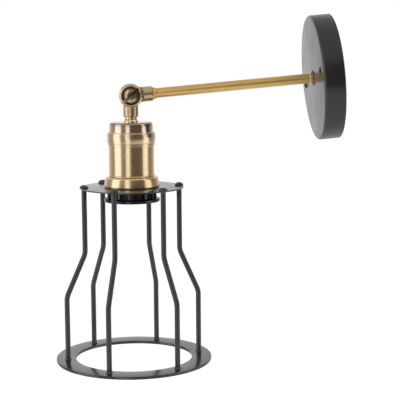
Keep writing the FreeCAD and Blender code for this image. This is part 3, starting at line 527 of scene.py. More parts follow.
def add_piece(name, mesh, look, slot, place, body, *nodes):
    """Puts a finished mesh on its body, in the place of the nodes that it stands for."""
    piece = plain_object(name, mesh)
    piece.matrix_world = place
    piece.data.materials.append(finish(look))
    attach(piece, body)
    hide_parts(*nodes)


def dress(look, slot, *nodes):
    """Gives pieces of the frame their finish."""
    for node in nodes:
        piece = frame["nodes"][node]
        piece.data.materials.clear()
        piece.data.materials.append(finish(look))


# ---- effects that several finishes share ----
def new_group(name, inputs, outputs):
    group = bpy.data.node_groups.new(name, "ShaderNodeTree")
    for label, kind, value in inputs:
        socket = group.interface.new_socket(label, in_out="INPUT", socket_type=kind)
        if value is not None:
            socket.default_value = value
    for label, kind in outputs:
        group.interface.new_socket(label, in_out="OUTPUT", socket_type=kind)
    return group, group.nodes.new("NodeGroupInput"), group.nodes.new("NodeGroupOutput")


def feed(tree, value, socket):
    """Joins a socket to what is before it, or sets it to a constant."""
    if isinstance(value, bpy.types.NodeSocket):
        tree.links.new(value, socket)
    else:
        socket.default_value = value


def math_node(tree, operation, first, second=None, clamp=False):
    node = tree.nodes.new("ShaderNodeMath")
    node.operation = operation
    node.use_clamp = clamp
    for i, value in enumerate((first, second)):
        if value is not None:
            feed(tree, value, node.inputs[i])
    return node.outputs[0]


def spread(tree, value, low, high, to_low=0.0, to_high=1.0):
    node = tree.nodes.new("ShaderNodeMapRange")
    node.interpolation_type = "SMOOTHSTEP"
    for i, number in enumerate((value, low, high, to_low, to_high)):
        feed(tree, number, node.inputs[i])
    return node.outputs[0]


def grain(tree, vector, scale, detail=3.0, roughness=0.55):
    node = tree.nodes.new("ShaderNodeTexNoise")
    node.inputs["Detail"].default_value = detail
    node.inputs["Roughness"].default_value = roughness
    feed(tree, vector, node.inputs["Vector"])
    feed(tree, scale, node.inputs["Scale"])
    return node.outputs["Fac"]


def mixed(tree, share, first, second):
    """One colour over another, by a share that is a socket."""
    node = tree.nodes.new("ShaderNodeMix")
    node.data_type = "RGBA"
    tree.links.new(share, node.inputs["Factor"])
    for socket, value in ((node.inputs["A"], first), (node.inputs["B"], second)):
        if isinstance(value, bpy.types.NodeSocket):
            tree.links.new(value, socket)
        else:
            socket.default_value = (*value, 1.0)
    return node.outputs["Result"]


def make_brush_lines():
    """Fine lines left by brushing or turning: close along Z, long round it."""
    group, entry, leave = new_group(
        "brush_lines",
        [("Vector", "NodeSocketVector", None), ("Along", "NodeSocketFloat", 9000.0),
         ("Around", "NodeSocketFloat", 60.0)],
        [("Lines", "NodeSocketFloat"), ("Broad", "NodeSocketFloat")])
    stretch = group.nodes.new("ShaderNodeCombineXYZ")
    group.links.new(entry.outputs["Around"], stretch.inputs["X"])
    group.links.new(entry.outputs["Around"], stretch.inputs["Y"])
    group.links.new(entry.outputs["Along"], stretch.inputs["Z"])
    scaled = group.nodes.new("ShaderNodeVectorMath")
    scaled.operation = "MULTIPLY"
    group.links.new(entry.outputs["Vector"], scaled.inputs[0])
    group.links.new(stretch.outputs[0], scaled.inputs[1])
    fine = grain(group, scaled.outputs[0], 1.0, 4.0, 0.7)
    broad = grain(group, scaled.outputs[0], 0.16, 2.0)
    group.links.new(spread(group, fine, 0.3, 0.7), leave.inputs["Lines"])
    group.links.new(spread(group, broad, 0.35, 0.65), leave.inputs["Broad"])
    return group


def make_mottle():
    """Soft clouds of tone, as in patina, plating and moulded surfaces."""
    group, entry, leave = new_group(
        "mottle",
        [("Vector", "NodeSocketVector", None), ("Scale", "NodeSocketFloat", 120.0),
         ("Low", "NodeSocketFloat", 0.38), ("High", "NodeSocketFloat", 0.68)],
        [("Clouds", "NodeSocketFloat")])
    clouds = grain(group, entry.outputs["Vector"], entry.outputs["Scale"], 5.0, 0.6)
    group.links.new(
        spread(group, clouds, entry.outputs["Low"], entry.outputs["High"]), leave.inputs["Clouds"])
    return group


def make_paint_skin():
    """The slightly pebbled skin of a baked paint, with a little change in its gloss."""
    group, entry, leave = new_group(
        "paint_skin",
        [("Vector", "NodeSocketVector", None), ("Scale", "NodeSocketFloat", 1400.0)],
        [("Height", "NodeSocketFloat"), ("Gloss", "NodeSocketFloat")])
    pebbles = grain(group, entry.outputs["Vector"], entry.outputs["Scale"], 2.0, 0.45)
    slow = grain(group, entry.outputs["Vector"], 45.0, 4.0)
    group.links.new(pebbles, leave.inputs["Height"])
    group.links.new(spread(group, slow, 0.3, 0.7), leave.inputs["Gloss"])
    return group


def make_edge_wear_and_shade():
    """Splits a mark into rubbed outward edges and dark inward corners: patina in plain corners, painted
    shade where a piece marks it.
    """
    group, entry, leave = new_group(
        "edge_wear_and_shade",
        [("Wear", "NodeSocketFloat", 0.0), ("Vector", "NodeSocketVector", None),
         ("Scale", "NodeSocketFloat", 500.0)],
        [("Rubbed", "NodeSocketFloat"), ("PatinaAndShade", "NodeSocketFloat")])
    broken = grain(group, entry.outputs["Vector"], entry.outputs["Scale"], 4.0, 0.65)
    outward = math_node(group, "MAXIMUM", entry.outputs["Wear"], 0.0)
    inward = math_node(group, "MULTIPLY", entry.outputs["Wear"], -1.0, clamp=True)
    rubbed = math_node(group, "MULTIPLY", outward, spread(group, broken, 0.32, 0.6))
    corners = math_node(group, "MULTIPLY", inward, spread(group, broken, 0.2, 0.5, 0.5, 1.0))
    group.links.new(rubbed, leave.inputs["Rubbed"])
    group.links.new(corners, leave.inputs["PatinaAndShade"])
    return group


def make_specks():
    """Sparse small specks: dust, pits or flecks."""
    group, entry, leave = new_group(
        "specks",
        [("Vector", "NodeSocketVector", None), ("Scale", "NodeSocketFloat", 900.0),
         ("Amount", "NodeSocketFloat", 0.08)],
        [("Specks", "NodeSocketFloat")])
    cells = group.nodes.new("ShaderNodeTexVoronoi")
    group.links.new(entry.outputs["Vector"], cells.inputs["Vector"])
    group.links.new(entry.outputs["Scale"], cells.inputs["Scale"])
    chosen = group.nodes.new("ShaderNodeSeparateColor")
    group.links.new(cells.outputs["Color"], chosen.inputs[0])
    picked = math_node(group, "LESS_THAN", chosen.outputs[0], entry.outputs["Amount"])
    round_spot = spread(group, cells.outputs["Distance"], 0.12, 0.3, 1.0, 0.0)
    group.links.new(math_node(group, "MULTIPLY", picked, round_spot), leave.inputs["Specks"])
    return group


EFFECTS = {
    "brush_lines": make_brush_lines,
    "mottle": make_mottle,
    "paint_skin": make_paint_skin,
    "edge_wear_and_shade": make_edge_wear_and_shade,
    "specks": make_specks,
}


# Turn of the stretched highlights, as a share of a full turn.
SHINE_TURN = 0.25


class Finish:
    """One material that is being made: its nodes, and short ways to join them."""

    def __init__(self, name, **constants):
        self.material = bpy.data.materials.new(name)
        self.material.use_nodes = True
        self.tree = self.material.node_tree
        self.shader = self.tree.nodes["Principled BSDF"]
        coordinates = self.tree.nodes.new("ShaderNodeTexCoord")
        self.place = coordinates.outputs["Object"]
        for label, value in constants.items():
            self.shader.inputs[label.replace("_", " ").title().replace("Ior", "IOR")].default_value = value

    def effect(self, name, **values):
        if name not in bpy.data.node_groups:
            EFFECTS[name]()
        node = self.tree.nodes.new("ShaderNodeGroup")
        node.node_tree = bpy.data.node_groups[name]
        self.tree.links.new(self.place, node.inputs["Vector"])
        for label, value in values.items():
            feed(self.tree, value, node.inputs[label])
        return node.outputs

    def wear_and_shade(self, scale=500.0):
        mark = self.tree.nodes.new("ShaderNodeAttribute")
        mark.attribute_name = "wear_and_shade"
        return self.effect("edge_wear_and_shade", Wear=mark.outputs["Fac"], Scale=scale)

    def colour(self, socket):
        self.tree.links.new(socket, self.shader.inputs["Base Color"])

    def roughness(self, socket, low, high):
        level = spread(self.tree, socket, 0.0, 1.0, low, high)
        self.tree.links.new(level, self.shader.inputs["Roughness"])

    def share(self, socket, amount):
        return math_node(self.tree, "MULTIPLY", socket, amount)

    def mix(self, share, first, second):
        return mixed(self.tree, share, first, second)

    def turned_shine(self, stretch):
        """Highlights stretched along Z, across the fine lines that turning leaves."""
        along = self.tree.nodes.new("ShaderNodeTangent")
        along.direction_type = "RADIAL"
        along.axis = "Z"
        self.tree.links.new(along.outputs[0], self.shader.inputs["Tangent"])
        self.shader.inputs["Anisotropic"].default_value = stretch
        self.shader.inputs["Anisotropic Rotation"].default_value = SHINE_TURN

    def bump(self, height, distance, strength=1.0):
        node = self.tree.nodes.new("ShaderNodeBump")
        node.inputs["Distance"].default_value = distance
        node.inputs["Strength"].default_value = strength
        self.tree.links.new(height, node.inputs["Height"])
        self.tree.links.new(node.outputs["Normal"], self.shader.inputs["Normal"])


# ---- finishes ----
def darker(face, share):
    return [channel * share for channel in face]


def dark_paint(name, face, dust, low, high):
    made = Finish(name, ior=1.6)
    skin = made.effect("paint_skin", Scale=1500.0)
    specks = made.effect("specks", Scale=420.0, Amount=0.05)
    marked = made.wear_and_shade()
    rubbed = made.share(marked["Rubbed"], 0.35)
    base = made.mix(made.share(specks["Specks"], 0.3), face, dust)
    made.colour(made.mix(rubbed, base, dust))
    made.roughness(skin["Gloss"], low, high)
    made.bump(skin["Height"], 0.006 * MM, 0.2)
    return made.material


def black_paint(colours):
    return dark_paint("black_paint", colours.black_paint, colours.paint_dust, 0.21, 0.26)


def cage_paint(colours):
    return dark_paint("cage_paint", colours.cage_black, colours.paint_dust, 0.17, 0.22)


def brushed_brass(name, face, dark, along, low, high, coat, stretch=0.0):
    made = Finish(name, metallic=1.0, coat_weight=coat, coat_roughness=0.12)
    if stretch:
        made.turned_shine(stretch)
    lines = made.effect("brush_lines", Along=along, Around=70.0)
    clouds = made.effect("mottle", Scale=70.0, Low=0.42, High=0.75)
    marked = made.wear_and_shade()
    tone = made.share(lines["Lines"], 0.07)
    tone = math_node(made.tree, "ADD", tone, made.share(clouds["Clouds"], 0.12))
    base = made.mix(tone, face, dark)
    # Patina darkens the inward corners; where an outline's fourth number or a cut marks the brass, this
    # paints shade.
    base = made.mix(marked["PatinaAndShade"], base, darker(dark, 0.3))
    lighter = [min(1.0, channel * 1.25) for channel in face]
    made.colour(made.mix(made.share(marked["Rubbed"], 0.6), base, lighter))
    made.roughness(lines["Broad"], low, high)
    made.bump(lines["Lines"], 0.004 * MM, 0.2)
    return made.material


def antique_brass(colours):
    return brushed_brass(
        "antique_brass", colours.antique_brass, colours.antique_dark, 9000.0, 0.19, 0.24, 0.15, 0.12)


def knuckle_brass(colours):
    """Cast and tumbled brass with no turning lines: soft clouds, fine pits and a satin shine."""
    made = Finish("knuckle_brass", metallic=1.0, coat_weight=0.15, coat_roughness=0.15)
    clouds = made.effect("mottle", Scale=110.0, Low=0.35, High=0.8)
    pits = made.effect("specks", Scale=900.0, Amount=0.06)
    skin = made.effect("paint_skin", Scale=3500.0)
    tone = made.share(clouds["Clouds"], 0.18)
    tone = math_node(made.tree, "ADD", tone, made.share(pits["Specks"], 0.15), clamp=True)
    made.colour(made.mix(tone, colours.knuckle_brass, colours.antique_dark))
    made.roughness(skin["Gloss"], 0.24, 0.32)
    made.bump(skin["Height"], 0.004 * MM, 0.2)
    return made.material


def bronze(colours):
    return brushed_brass(
        "dark_bronze", colours.bronze, darker(colours.bronze, 0.4), 7000.0, 0.24, 0.32, 0.1, 0.5)


def cap_brass(colours):
    return brushed_brass("cap_brass", colours.cap_brass, colours.cap_dark, 6000.0, 0.12, 0.20, 0.3)


def golden_brass(colours):
    return brushed_brass(
        "golden_brass", colours.golden_brass, colours.golden_dark, 5000.0, 0.36, 0.42, 0.15, 0.9)


def bright_brass(colours):
    return brushed_brass(
        "bright_brass", colours.bright_brass, colours.golden_brass, 12000.0, 0.16, 0.24, 0.0)


def zinc_steel(colours):
    made = Finish("zinc_steel", metallic=1.0)
    clouds = made.effect("mottle", Scale=260.0, Low=0.4, High=0.6)
    specks = made.effect("specks", Scale=700.0, Amount=0.06)
    base = made.mix(clouds["Clouds"], colours.zinc, colours.zinc_dark)
    made.colour(made.mix(specks["Specks"], base, colours.zinc_dark))
    made.roughness(clouds["Clouds"], 0.30, 0.48)
    made.bump(clouds["Clouds"], 0.02 * MM, 0.4)
    return made.material


def moulded(name, face, shade, low, high, scale=900.0):
    """A moulded plastic, ceramic or fibre face: faint clouds, small pits and a fine grain."""
    made = Finish(name, ior=1.5)
    clouds = made.effect("mottle", Scale=scale / 6)
    pits = made.effect("specks", Scale=scale, Amount=0.07)
    skin = made.effect("paint_skin", Scale=scale * 2)
    base = made.mix(made.share(clouds["Clouds"], 0.5), face, shade)
    made.colour(made.mix(made.share(pits["Specks"], 0.5), base, shade))
    made.roughness(skin["Gloss"], low, high)
    made.bump(skin["Height"], 0.04 * MM, 0.4)
    return made.material


def black_plastic(colours):
    return moulded("black_plastic", colours.black_plastic, darker(colours.black_plastic, 0.5), 0.12, 0.2)


def white_plastic(colours):
    return moulded("white_plastic", colours.white_plastic, darker(colours.white_plastic, 0.85), 0.35, 0.5)


def porcelain(colours):
    return moulded("porcelain", colours.porcelain, darker(colours.porcelain, 0.8), 0.5, 0.7, 1200.0)


def fibre(colours):
    return moulded("fibre", colours.fibre, darker(colours.fibre, 0.5), 0.7, 0.9, 2500.0)


def lead_cover(name, face, stripe=None):
    """Soft insulation with a dull, slightly dusty skin; the earth lead has a second colour."""
    made = Finish(name, ior=1.48)
    clouds = made.effect("mottle", Scale=400.0)
    skin = made.effect("paint_skin", Scale=3000.0)
    base = made.mix(made.share(clouds["Clouds"], 0.4), face, darker(face, 0.6))
    if stripe is not None:
        split = made.tree.nodes.new("ShaderNodeSeparateXYZ")
        made.tree.links.new(made.place, split.inputs[0])
        wave = math_node(made.tree, "SINE", made.share(split.outputs["Z"], 900.0))
        base = made.mix(spread(made.tree, wave, 0.1, 0.25), base, stripe)
    made.colour(base)
    made.roughness(skin["Gloss"], 0.5, 0.65)
    made.bump(skin["Height"], 0.02 * MM, 0.3)
    return made.material


FINISHES = {
    "black": black_paint,
    "cage_black": cage_paint,
    "antique_brass": antique_brass,
    "knuckle_brass": knuckle_brass,
    "cap_brass": cap_brass,
    "bronze": bronze,
    "golden_brass": golden_brass,
    "bright_brass": bright_brass,
    "steel": zinc_steel,
    "black_plastic": black_plastic,
    "white_plastic": white_plastic,
    "porcelain": porcelain,
    "fibre": fibre,
    "lead_brown": lambda colours: lead_cover("brown_lead", colours.brown_lead),
    "lead_blue": lambda colours: lead_cover("blue_lead", colours.blue_lead),
    "lead_green": lambda colours: lead_cover("green_lead", colours.green_lead, colours.yellow_lead),
}
made_finishes = {}


def finish(name):
    if name not in made_finishes:
        made_finishes[name] = FINISHES[name](settings().finish)
    return made_finishes[name]


# ---- canopy and wall fixing ----
def arm_piece(name, points, look, slot, node, steps=TUBE_STEPS):
    """A turned piece on the arm's line, from (radius, distance from the wall) corners."""
    add_piece(name, turned(name, points, steps), look, slot, ON_ARM, ARM_BODY, node)


class CAGELIGHT_OT_canopy(bpy.types.Operator):
    """Presses the canopy: a flat face, a round edge and an open back"""

    bl_idname = "cagelight.canopy"
    bl_label = "Canopy"

    def execute(self, context):
        sizes = settings().canopy
        bore = settings().arm.tube / 2 + 0.1 * MM
        radius, inner = sizes.diameter / 2, sizes.diameter / 2 - sizes.wall
        face = sizes.depth
        arm_piece("canopy_shell", [
            (inner, 0, 0.3 * MM),
            (radius, 0, 0.3 * MM),
            (radius, face, sizes.edge),
            (bore, face),
            (bore, face - sizes.wall),
            (inner, face - sizes.wall, sizes.edge - sizes.wall),
        ], "black", "black", "canopy", WIDE_STEPS)
        return {"FINISHED"}


# How much further each canopy screw is turned than the one before, in radians.
SCREW_TURN = 0.5


def recess_wing(width, depth, top, turn):
    """One wing of a cross recess: a wedge, narrower at its foot, for a head whose top is at top."""
    work = bmesh.new()
    verts = []
    for half_long, half_wide, height in (
            (width * 0.34, width * 0.10, top - depth), (width * 0.5, width * 0.17, top + depth)):
        for x, y in ((-1, -1), (1, -1), (1, 1), (-1, 1)):
            spot = Vector((x * half_long, y * half_wide, height))
            verts.append(work.verts.new(Matrix.Rotation(turn, 3, "Z") @ spot))
    work.faces.new(verts[3::-1])
    work.faces.new(verts[4:])
    for i in range(4):
        j = (i + 1) % 4
        work.faces.new((verts[i], verts[j], verts[j + 4], verts[i + 4]))
    return raw_mesh("cutter", work)


def recessed_screw(name, head, height, shank, length):
    """A round-headed screw on Z: its shank goes down from 0, its head stands on 0."""
    mesh = turned(name, [
        (0, -length),
        (shank / 2, -length, 0.3 * MM),
        (shank / 2, 0),
        (head / 2, 0, 0.1 * MM),
        (head / 2, height * 0.55, height * 0.5),
        (head / 4, height, head / 3),
        (0, height),
    ], SCREW_STEPS)
    for turn in (0, math.pi / 2):
        mesh = cut_from(mesh, recess_wing(head * 0.6, height * 0.75, height, turn))
    return mesh


class CAGELIGHT_OT_canopy_screws(bpy.types.Operator):
    """Sets the two cross-recessed screws in the canopy's face"""

    bl_idname = "cagelight.canopy_screws"
    bl_label = "Canopy screws"

    def execute(self, context):
        sizes = settings().canopy
        for number, side in enumerate((-1, 1), start=1):
            mesh = recessed_screw(
                "canopy_screw", sizes.screw_head, sizes.screw_head_height, sizes.screw_shank,
                sizes.depth - 0.1 * MM)
            place = ON_STRAP @ Matrix.Translation((side * sizes.screw_spacing / 2, 0, sizes.depth))
            place = place @ Matrix.Rotation(number * SCREW_TURN, 4, "Z")
            add_piece(
                "canopy_screw_%d" % number, mesh, "black", "black", place, ARM_BODY, "canopy_screws")
        return {"FINISHED"}


class CAGELIGHT_OT_wall_fixing(bpy.types.Operator):
    """Finishes the strap, the nuts, the terminal block and the leads behind the canopy"""

    bl_idname = "cagelight.wall_fixing"
    bl_label = "Wall fixing and wiring"

    def execute(self, context):
        dress("steel", "steel", "wall_bracket", "lock_washer", "canopy_nut", "block_screws")
        dress("bright_brass", "bright_brass", "earth_screw")
        dress("white_plastic", "white_plastic", "terminal_block")
        dress("lead_brown", "lead_brown", "live_lead")
        dress("lead_blue", "lead_blue", "neutral_lead")
        dress("lead_green", "lead_green", "earth_lead")
        return {"FINISHED"}


# ---- arm ----
class CAGELIGHT_OT_arm(bpy.types.Operator):
    """Draws the arm tube with the washer and collar at its root and the nut at its end"""

    bl_idname = "cagelight.arm"
    bl_label = "Arm"

    def execute(self, context):
        sizes = settings().arm
        face = settings().canopy.depth
        outer, bore = sizes.tube / 2, sizes.tube / 2 + FIT
        arm_piece("arm_tube_drawn", [
            (outer - sizes.tube_wall, sizes.tube_start),
            (outer, sizes.tube_start, 0.3 * MM),
            (outer, sizes.tube_end, 0.3 * MM),
            (outer - sizes.tube_wall, sizes.tube_end),
        ], "golden_brass", "golden_brass", "arm_tube")
        top = face + sizes.washer_thickness
        arm_piece("root_washer_turned", [
            (bore, face),
            (sizes.washer / 2, face),
            (sizes.washer / 2, top, 0.5 * MM),
            (bore, top),
        ], "bronze", "antique_brass", "root_washer")
        arm_piece("root_collar_turned", [
            (bore, top),
            (sizes.collar / 2, top, 0.4 * MM),
            (sizes.collar / 2, top + sizes.collar_thickness, 0.7 * MM),
            (bore, top + sizes.collar_thickness),
        ], "bright_brass", "bright_brass", "root_collar")
        nut = hex_nut("tube_lock_nut_turned", sizes.lock_nut, bore,
                      sizes.barrel_end - sizes.lock_nut_height, sizes.barrel_end)
        add_piece("tube_lock_nut_turned", nut, "golden_brass", "golden_brass", ON_ARM, ARM_BODY,
                  "tube_lock_nut")
        return {"FINISHED"}


# ---- knuckle ----
class CAGELIGHT_OT_knuckle(bpy.types.Operator):
    """Finishes the knuckle's halves and makes its slotted screw and rear nut"""

    bl_idname = "cagelight.knuckle"
    bl_label = "Knuckle"

    def execute(self, context):
        sizes = settings().knuckle
        dress("knuckle_brass", "antique_brass", "knuckle_arm_half", "knuckle_lamp_half")
        dress("fibre", "fibre", "friction_washer")
        seat = sizes.half_width + FIT
        top = seat + sizes.head_height
        outer = sizes.groove / 2
        inner = outer - sizes.groove_width
        low = top - sizes.groove_depth
        nut_foot = -sizes.half_width - sizes.nut_height
        screw = turned("knuckle_screw_turned", [
            (0, nut_foot - sizes.shank_end),
            (sizes.shank / 2, nut_foot - sizes.shank_end, 0.5 * MM),
            (sizes.shank / 2, seat),
            (sizes.head / 2, seat, 0.2 * MM),
            (sizes.head / 2, top, sizes.head_edge),
            # The fourth numbers paint shade: dark in the groove, a little darker on the rim's top and
            # across the dome.
            (outer, top, 0.1 * MM, -0.3),
            (outer, low, 0.3 * MM, -1),
            (inner, low, 0.3 * MM, -1),
            (inner, top - sizes.dome * 0.55, 0.5 * MM, -0.8),
            (inner * 0.55, top + sizes.dome * 0.35, inner * 0.6, -0.25),
            (0, top + sizes.dome * 0.5, 0, -0.2),
        ])
        slot = slot_cutter(sizes.head, sizes.slot_width, top - sizes.slot_depth, sizes.slot_turn)
        # Cutting the slot also paints shade into it.
        screw = cut_from(screw, slot, 0.12 * MM)
        add_piece("knuckle_screw_turned", screw, "antique_brass", "antique_brass", ON_HINGE, ARM_BODY,
                  "knuckle_screw")
        nut = hex_nut(
            "knuckle_nut_turned", sizes.nut, sizes.shank / 2 + FIT, nut_foot, -sizes.half_width)
        add_piece("knuckle_nut_turned", nut, "antique_brass", "antique_brass", ON_HINGE, ARM_BODY,
                  "knuckle_nut")
        return {"FINISHED"}


# ---- lamp holder ----
def head_piece(name, points, look, slot, node, steps=TURN_STEPS):
    """A turned piece on the lamp's line, from (radius, depth below the pivot) corners."""
    outline = [(point[0], -point[1], *point[2:]) for point in points]
    add_piece(name, turned(name, outline, steps), look, slot, ON_HEAD, HEAD_BODY, node)


class CAGELIGHT_OT_neck(bpy.types.Operator):
    """Turns the waisted neck between the stem and the holder's cap"""

    bl_idname = "cagelight.neck"
    bl_label = "Neck"

    def execute(self, context):
        sizes = settings().holder
        bore = sizes.nipple / 2
        height = sizes.cap_top - sizes.stem_end
        head_piece("neck_turned", [
            (bore, sizes.stem_end),
            (sizes.neck_waist / 2, sizes.stem_end, 0.3 * MM),
            (sizes.neck_waist / 2, sizes.stem_end + height * 0.45, 1.5 * MM),
            (sizes.neck_foot / 2, sizes.cap_top - height * 0.2, 0.5 * MM),
            (sizes.neck_foot / 2, sizes.cap_top),
            (bore, sizes.cap_top),
        ], "bright_brass", "bright_brass", "neck_collar")
        dress("steel", "steel", "neck_nipple", "holder_nut")
        return {"FINISHED"}


class CAGELIGHT_OT_holder(bpy.types.Operator):
    """Turns the holder's cap, ring nut, body and skirt"""

    bl_idname = "cagelight.holder"
    bl_label = "Lamp holder"

    def execute(self, context):
        sizes = settings().holder
        cap, body, band = sizes.cap / 2, sizes.body / 2, sizes.band / 2
        sheet = 1.0 * MM
        head_piece("holder_cap_spun", [
            (sizes.nipple / 2, sizes.cap_top),
            # The marks -0.15 and -0.42 paint a dark reflection on the cap's top and shoulder.
            (cap - 2.0 * sizes.cap_shoulder, sizes.cap_top, 0, -0.15),
            (cap - 0.7 * MM, sizes.cap_top, sizes.cap_shoulder, -0.42),
            (cap - 0.3 * MM, sizes.cap_top + 1.25 * sizes.cap_shoulder, 0, 0.0),
            (cap, sizes.band_top, 0.1 * MM, 0.0),
            (cap, sizes.band_top + sheet),
            (cap - sheet, sizes.band_top + sheet),
            (cap - sheet, sizes.band_top),
            (cap - sheet - 0.7 * MM, sizes.cap_top + sheet, sizes.cap_shoulder - sheet),
            (sizes.nipple / 2, sizes.cap_top + sheet),
        ], "cap_brass", "antique_brass", "holder_cap")
        middle = (sizes.band_top + sizes.band_foot) / 2
        head_piece("holder_band_turned", [
            (cap + 0.1 * MM, sizes.band_top, 0.2 * MM),
            (band - 0.5 * MM, sizes.band_top, 1.1 * MM),
            (band, middle, 10 * MM),
            (band - 0.5 * MM, sizes.band_foot, 0.5 * MM),
            (sizes.lip / 2, sizes.band_foot, 0.2 * MM),
            (sizes.lip / 2, sizes.lip_foot, 0.3 * MM),
            (body + FIT, sizes.lip_foot),
            (body + FIT, sizes.band_top + 1.1 * MM),
            (cap + 0.1 * MM, sizes.band_top + 1.1 * MM),
        ], "antique_brass", "antique_brass", "holder_band")
        bead = sizes.skirt_top - 0.9 * MM
        head_piece("holder_body_drawn", [
            (body - 0.8 * MM, sizes.band_top + 3.1 * MM),
            (body, sizes.band_top + 3.1 * MM),
            (body, bead - 0.8 * MM, 0.3 * MM),
            (body + sizes.bead, bead, 0.6 * MM),
            (body, bead + 0.8 * MM, 0.2 * MM),
            (body, sizes.skirt_top + 1.2 * MM),
            (body - 0.8 * MM, sizes.skirt_top + 1.2 * MM),
        ], "antique_brass", "antique_brass", "holder_body")
        foot_edge = 0.9 * MM
        head_piece("holder_skirt_turned", [
            (body + FIT, sizes.skirt_top, 0.2 * MM),
            (sizes.skirt_shoulder_width / 2, sizes.skirt_top, sizes.skirt_shoulder),
            (sizes.skirt / 2, sizes.plate_top - 2 * foot_edge, 0.5 * MM),
            (sizes.skirt / 2, sizes.plate_top, foot_edge),
            (sizes.sleeve / 2, sizes.plate_top),
            (sizes.sleeve / 2, sizes.skirt_top + 1.2 * MM),
            (body + FIT, sizes.skirt_top + 1.2 * MM),
        ], "antique_brass", "antique_brass", "holder_skirt")
        return {"FINISHED"}


SHELL_ROWS = 90
SHELL_WALL = 0.3 * MM
SHELL_FLOOR_HOLE = 8.5 * MM
THREAD_LOOSE = 0.15 * MM
# The thread fades out over one part in this many at each end of the shell.
THREAD_FADE = 12


class CAGELIGHT_OT_socket(bpy.types.Operator):
    """Rolls the threaded screw shell and finishes what sits round it"""

    bl_idname = "cagelight.socket"
    bl_label = "Lamp socket"

    def execute(self, context):
        sizes = settings().holder
        dress("porcelain", "porcelain", "holder_core")
        dress("bright_brass", "bright_brass", "centre_contact", "terminals")
        dress("steel", "steel", "terminal_screws")
        dress("lead_brown", "lead_brown", "head_leads")
        mesh = self.threaded_shell(sizes)
        add_piece("screw_shell_rolled", mesh, "bright_brass", "bright_brass", ON_HEAD, HEAD_BODY,
                  "screw_shell")
        return {"FINISHED"}

    def threaded_shell(self, sizes):
        """A thin shell whose wall winds in and out along a round-crested thread."""
        work = bmesh.new()
        root, steps = sizes.socket_bore / 2 + THREAD_LOOSE, TUBE_STEPS
        span = sizes.shell_mouth - sizes.shell_floor
        outer, inner = [], []
        for row in range(SHELL_ROWS + 1):
            share = row / SHELL_ROWS
            depth = sizes.shell_mouth - span * share
            fade = min(1.0, share * THREAD_FADE, (1 - share) * THREAD_FADE)
            outer_ring, inner_ring = [], []
            for step in range(steps):
                angle = FULL_TURN * step / steps
                wave = 0.5 - 0.5 * math.cos(FULL_TURN * depth / sizes.thread_pitch - angle)
                radius = root - sizes.thread_depth * wave * fade
                for ring, across in ((outer_ring, radius + SHELL_WALL), (inner_ring, radius)):
                    ring.append(work.verts.new(around(across, angle, -depth)))
            outer.append(outer_ring)
            inner.append(inner_ring)
        hole = [
            [work.verts.new(around(SHELL_FLOOR_HOLE, FULL_TURN * k / steps, -sizes.shell_floor - drop))
             for k in range(steps)]
            for drop in (0.0, SHELL_WALL)
        ]
        chain = inner + [hole[1], hole[0]] + outer[::-1]
        for here, there in zip(chain, chain[1:] + chain[:1]):
            skin(work, here, there)
        return made_mesh("screw_shell_rolled", work)


# ---- shade ring and cage ----
RIB_STEPS = 8


class CAGELIGHT_OT_shade_ring(bpy.types.Operator):
    """Moulds the ribbed shade ring with its broad flange"""

    bl_idname = "cagelight.shade_ring"
    bl_label = "Shade ring"

    def execute(self, context):
        sizes, holder = settings().cage, settings().holder
        bore = holder.sleeve / 2
        plate_foot = holder.plate_top + sizes.plate_thickness
        work = bmesh.new()
        add_turned(work, [
            (bore, -plate_foot),
            (sizes.grip / 2, -plate_foot, 0.2 * MM),
            (sizes.grip / 2, -sizes.flange_top, 0.6 * MM),
            (sizes.flange / 2, -sizes.flange_top, 0.8 * MM),
            (sizes.flange / 2, -sizes.flange_foot, 0.8 * MM),
            (bore, -sizes.flange_foot, 0.4 * MM),
        ], Matrix(), TURN_STEPS)
        for number in range(sizes.rib_count):
            self.add_rib(work, sizes, plate_foot, FULL_TURN * number / sizes.rib_count)
        add_piece("shade_ring_moulded", made_mesh("shade_ring_moulded", work), "black_plastic",
                  "black_plastic", ON_HEAD, HEAD_BODY, "shade_ring")
        return {"FINISHED"}

    def add_rib(self, work, sizes, plate_foot, angle):
        """A rib with a half-round face and a sloped top, drawn as a stack of arcs."""
        inner, outer, half = sizes.grip / 2 - 0.3 * MM, sizes.rib / 2, sizes.rib_width / 2
        turn = Matrix.Rotation(angle, 3, "Z")
        levels = ((-plate_foot - 0.1 * MM, 0.35), (-plate_foot - 0.9 * MM, 1.0),
                  (-sizes.flange_top - 0.3 * MM, 1.0))
        rings = []
        for height, share in levels:
            reach = inner + (outer - inner) * share
            rings.append([
                work.verts.new(turn @ Vector((
                    inner + (reach - inner) * math.sin(math.pi * k / RIB_STEPS),
                    -half * math.cos(math.pi * k / RIB_STEPS), height)))
                for k in range(RIB_STEPS + 1)
            ])
        skin_closed(work, rings)


class CAGELIGHT_OT_cage_plate(bpy.types.Operator):
    """Cuts the thin round plate that carries the wires"""

    bl_idname = "cagelight.cage_plate"
    bl_label = "Cage plate"

    def execute(self, context):
        sizes, holder = settings().cage, settings().holder
        foot = holder.plate_top + sizes.plate_thickness
        bore, edge = holder.sleeve / 2 + 0.2 * MM, sizes.plate / 2
        head_piece("cage_plate_cut", [
            (bore, foot, 0.1 * MM),
            (edge, foot, 0.3 * MM),
            (edge, holder.plate_top, 0.3 * MM),
            (bore, holder.plate_top, 0.1 * MM),
        ], "cage_black", "black", "cage_plate", PLATE_STEPS)
        return {"FINISHED"}


